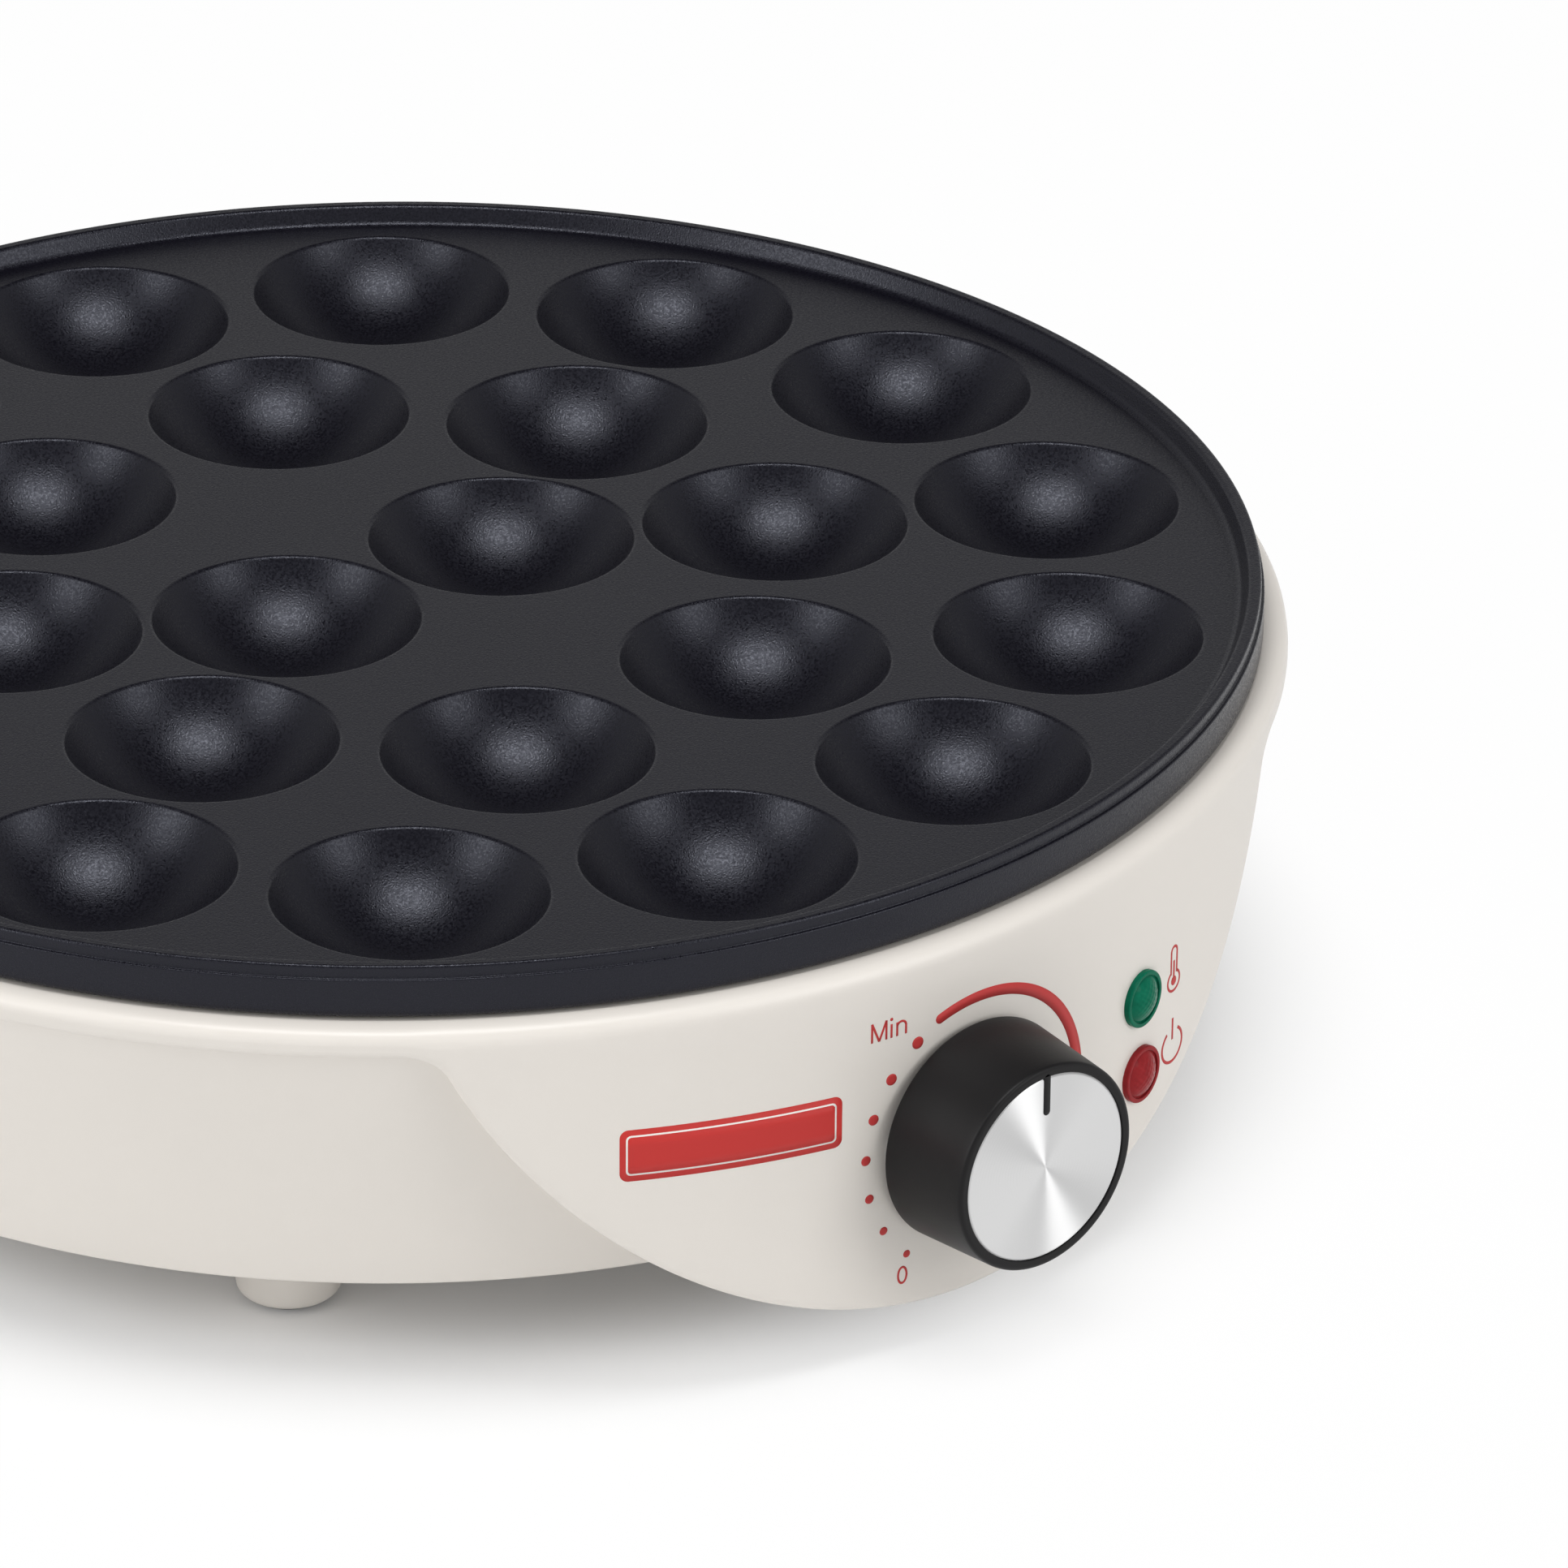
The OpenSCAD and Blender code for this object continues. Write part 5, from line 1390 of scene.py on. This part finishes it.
class InnerParts:
    """Nodes that keep their own solids and get a finish by their slot."""

    def build(self) -> None:
        """Puts a finish on every node that still shows."""
        slots = {part["node"]: part["material_slot"] for part in frame["record"]["subparts"]}
        for name, piece in frame["nodes"].items():
            if piece.hide_render:
                continue
            INNER_FINISHES[slots[name]].dress(piece)
            LOG.info("%s: dressed as %s", name, slots[name])


@dataclass(frozen=True)
class Softbox:
    """Soft light that faces the part.

    Attributes:
        name: Name of the light.
        way: Direction from the part, with -Y towards the camera.
        away: Distance from the part.
        size: Width and height.
        power: Power in watts.
    """

    name: str
    way: tuple[float, float, float]
    away: float
    size: Pair
    power: float

    def build(self, target: Vector, turn: Matrix) -> None:
        """Hangs the light.

        Args:
            target: Point that it faces.
            turn: Turn of the camera about the part.
        """
        lamp = bpy.data.lights.new(self.name, "AREA")
        lamp.shape = "RECTANGLE"
        lamp.size, lamp.size_y = self.size
        lamp.energy = self.power
        out = (turn @ Vector(self.way)).normalized()
        box = bpy.data.objects.new(self.name, lamp)
        box.location = target + out * self.away
        box.rotation_euler = out.to_track_quat("Z", "Y").to_euler()
        bpy.context.scene.collection.objects.link(box)


@dataclass
class Studio:
    """Floor, soft lights, world and camera.

    Attributes:
        target: Point on the plate that the camera is measured from.
        focal_px: Focal length in pixels of the image.
        image_px: Width of the image in pixels.
        target_px: Place of the target in the image.
        pitch: Downward tilt of the camera, in degrees.
        roll: Roll of the camera, in degrees.
        bearing: Turn of the camera about the part, in degrees.
        distance: Distance from the camera to the target.
        lights: The soft lights.
        far_sky: Heights and greys of the sky behind the part.
        near_sky: Heights and greys of the sky before the part.
        sky_turn: Where the sky behind gives way to the one before, as cosines to the camera's bearing.
        floor_grey: Colour of the floor's matt paint.
        floor_mask: Near and far end of the floor's mask, and the share of plain white there.
        floor_rings: Radii of the floor's rings.
        floor_z: Height of the floor.
    """

    target: Vector
    focal_px: float = 14273.0
    image_px: float = 1932.0
    target_px: Pair = (486.4, 709.1)
    pitch: float = 27.21
    roll: float = 0.51
    bearing: float = -39.95
    distance: float = 1.871
    lights: tuple = (
        Softbox("top_light", (0.0, -0.2244, 0.974), 1.15, (0.66, 0.42), 7.8),
        Softbox("left_light", (-0.80, -0.493, 0.47), 1.4, (0.6, 0.9), 7.0),
        Softbox("right_light", (0.80, -0.493, 0.47), 1.4, (0.6, 0.9), 5.6),
    )
    far_sky: tuple = ((0.0, 0.50), (0.25, 0.50), (0.52, 0.46), (0.72, 0.08), (1.0, 0.03))
    near_sky: tuple = ((0.0, 1.0), (0.12, 0.90), (0.28, 0.55), (0.60, 0.25), (1.0, 0.03))
    sky_turn: Pair = (-0.5, 0.3)
    floor_grey: float = 0.88
    floor_mask: tuple = (0.098, 0.16, 0.04, 0.97)
    floor_rings: tuple = (6.0, 2.0, 0.7, 0.25, 0.0)
    floor_z: float = -0.0001

    @property
    def turn(self) -> Matrix:
        """Turn of the camera about the part, as a matrix."""
        return Matrix.Rotation(radians(self.bearing), 3, "Z")

    def camera(self) -> None:
        """Sets the camera where the target falls on its place in the image."""
        p, q = radians(self.pitch), radians(self.roll)
        ahead = np.array([0.0, np.cos(p), -np.sin(p)])
        right, up = np.array([1.0, 0.0, 0.0]), np.array([0.0, np.sin(p), np.cos(p)])
        right, up = np.cos(q) * right + np.sin(q) * up, np.cos(q) * up - np.sin(q) * right
        half = self.image_px / 2
        ray = np.array([self.target_px[0] - half, half - self.target_px[1], self.focal_px])
        ray = ray / np.linalg.norm(ray)
        back = -self.distance * (ray[0] * right + ray[1] * up + ray[2] * ahead)
        turn = np.array(self.turn)
        axes = np.eye(4)
        axes[:3, :3] = turn @ np.stack([right, up, -ahead], -1)
        axes[:3, 3] = turn @ back + np.array(self.target)
        glass = bpy.data.cameras.new("photo_camera")
        glass.sensor_width = 36.0
        glass.lens = self.focal_px / self.image_px * glass.sensor_width
        glass.clip_start, glass.clip_end = 0.05, 50.0
        eye = bpy.data.objects.new("photo_camera", glass)
        eye.matrix_world = Matrix(axes.tolist())
        bpy.context.scene.collection.objects.link(eye)
        bpy.context.scene.camera = eye

    def world(self) -> None:
        """Lights the scene from all round by two ramps up the sky, mixed from behind the part to before it.

        The ramp before the part is white at the horizon and lights its front. The one behind it is an even
        grey, which the plate's flat mirrors. Both are dark overhead.
        """
        world = bpy.data.worlds.new("studio_world")
        bpy.context.scene.world = world
        world.use_nodes = True
        tree = world.node_tree
        place, split = node(tree, "TexCoord"), node(tree, "SeparateXYZ")
        link(tree, (place.outputs["Generated"], split.inputs[0]))
        sides = node(tree, "Mix", data_type="RGBA")
        sockets = {socket.identifier: socket for socket in (*sides.inputs, *sides.outputs)}
        for name, stops in (("A_Color", self.far_sky), ("B_Color", self.near_sky)):
            ramp = node(tree, "ValToRGB")
            for at, _ in stops[1:-1]:
                ramp.color_ramp.elements.new(at)
            for stop, (_, grey) in zip(ramp.color_ramp.elements, stops):
                stop.color = (grey, grey, grey, 1.0)
            link(tree, (split.outputs["Z"], ramp.inputs["Fac"]), (ramp.outputs["Color"], sockets[name]))
        front = node(tree, "VectorMath", operation="DOT_PRODUCT")
        front.inputs[1].default_value = self.turn @ Vector((0.0, -1.0, 0.0))
        share = node(tree, "MapRange", interpolation_type="SMOOTHSTEP")
        preset(share, From_Min=self.sky_turn[0], From_Max=self.sky_turn[1])
        link(
            tree,
            (place.outputs["Generated"], front.inputs[0]),
            (front.outputs["Value"], share.inputs["Value"]),
            (share.outputs["Result"], sides.inputs["Factor"]),
            (sockets["Result_Color"], tree.nodes["Background"].inputs["Color"]),
        )

    def floor_paint(self) -> bpy.types.Material:
        """Makes the floor's paint, which the camera and mirrors see as white away from the part.

        The share of plain white is 1 for camera, glossy and transmission rays, times a mask that eases up
        with the distance from the part. The rest is matt paint, so the part's shadow stays.

        Returns:
            The material.
        """
        paint = bpy.data.materials.new("studio_floor")
        paint.use_nodes = True
        tree = paint.node_tree
        matt = tree.nodes["Principled BSDF"]
        grey = self.floor_grey
        preset(matt, Base_Color=(grey, grey, grey, 1.0), Roughness=0.9, Specular_IOR_Level=0.0)
        white = node(tree, "Emission")
        place, away = node(tree, "TexCoord"), node(tree, "VectorMath", operation="LENGTH")
        mask = node(tree, "MapRange", interpolation_type="SMOOTHSTEP")
        near, far, low, high = self.floor_mask
        preset(mask, From_Min=near, From_Max=far, To_Min=low, To_Max=high)
        rays = node(tree, "LightPath")
        some, seen = node(tree, "Math", operation="ADD"), node(tree, "Math", operation="ADD", use_clamp=True)
        share, mix = node(tree, "Math", operation="MULTIPLY"), node(tree, "MixShader")
        link(
            tree,
            (place.outputs["Object"], away.inputs[0]),
            (away.outputs["Value"], mask.inputs["Value"]),
            (rays.outputs["Is Camera Ray"], some.inputs[0]),
            (rays.outputs["Is Glossy Ray"], some.inputs[1]),
            (some.outputs[0], seen.inputs[0]),
            (rays.outputs["Is Transmission Ray"], seen.inputs[1]),
            (seen.outputs[0], share.inputs[0]),
            (mask.outputs["Result"], share.inputs[1]),
            (share.outputs[0], mix.inputs["Fac"]),
            (matt.outputs["BSDF"], mix.inputs[1]),
            (white.outputs["Emission"], mix.inputs[2]),
            (mix.outputs["Shader"], tree.nodes["Material Output"].inputs["Surface"]),
        )
        return paint

    def floor(self) -> None:
        """Lays the floor, a wide disc of rings r (cos a, sin a) a hair under the pads."""
        ring = np.array(self.floor_rings)[:, None, None] * circle(96)
        ground = Surface.level(ring, around=True, z=self.floor_z).build("studio_floor")
        ground.data.materials.append(self.floor_paint())

    def build(self) -> None:
        """Sets up camera, lights, world and floor."""
        self.camera()
        for light in self.lights:
            light.build(self.target, self.turn)
        self.world()
        self.floor()
        bpy.context.scene.view_settings.view_transform = "Standard"


def main() -> None:
    """Builds the scene piece by piece."""
    logging.basicConfig(level=logging.INFO, format="%(name)s %(message)s")
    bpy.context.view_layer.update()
    plate = CookingPlate.from_frame()
    casing = Casing.from_frame()
    knob_low, knob_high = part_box("knob")
    knob_z = (knob_low.z + knob_high.z) / 2
    Studio(Vector((0.0, plate.axis_y, plate.flat_z))).build()
    plate.build()
    casing.build()
    Feet().build()
    ControlKnob(casing, knob_z).build()
    Lamp(casing, "heat_lamp_lens", "green_lamp_lens", Slot.GREEN, GREEN_LENS).build()
    Lamp(casing, "power_lamp_lens", "red_lamp_lens", Slot.RED, RED_LENS).build()
    PanelPrint(casing, knob_z).build()
    CordGland().build()
    InnerParts().build()


if __name__ == "__main__":
    main()
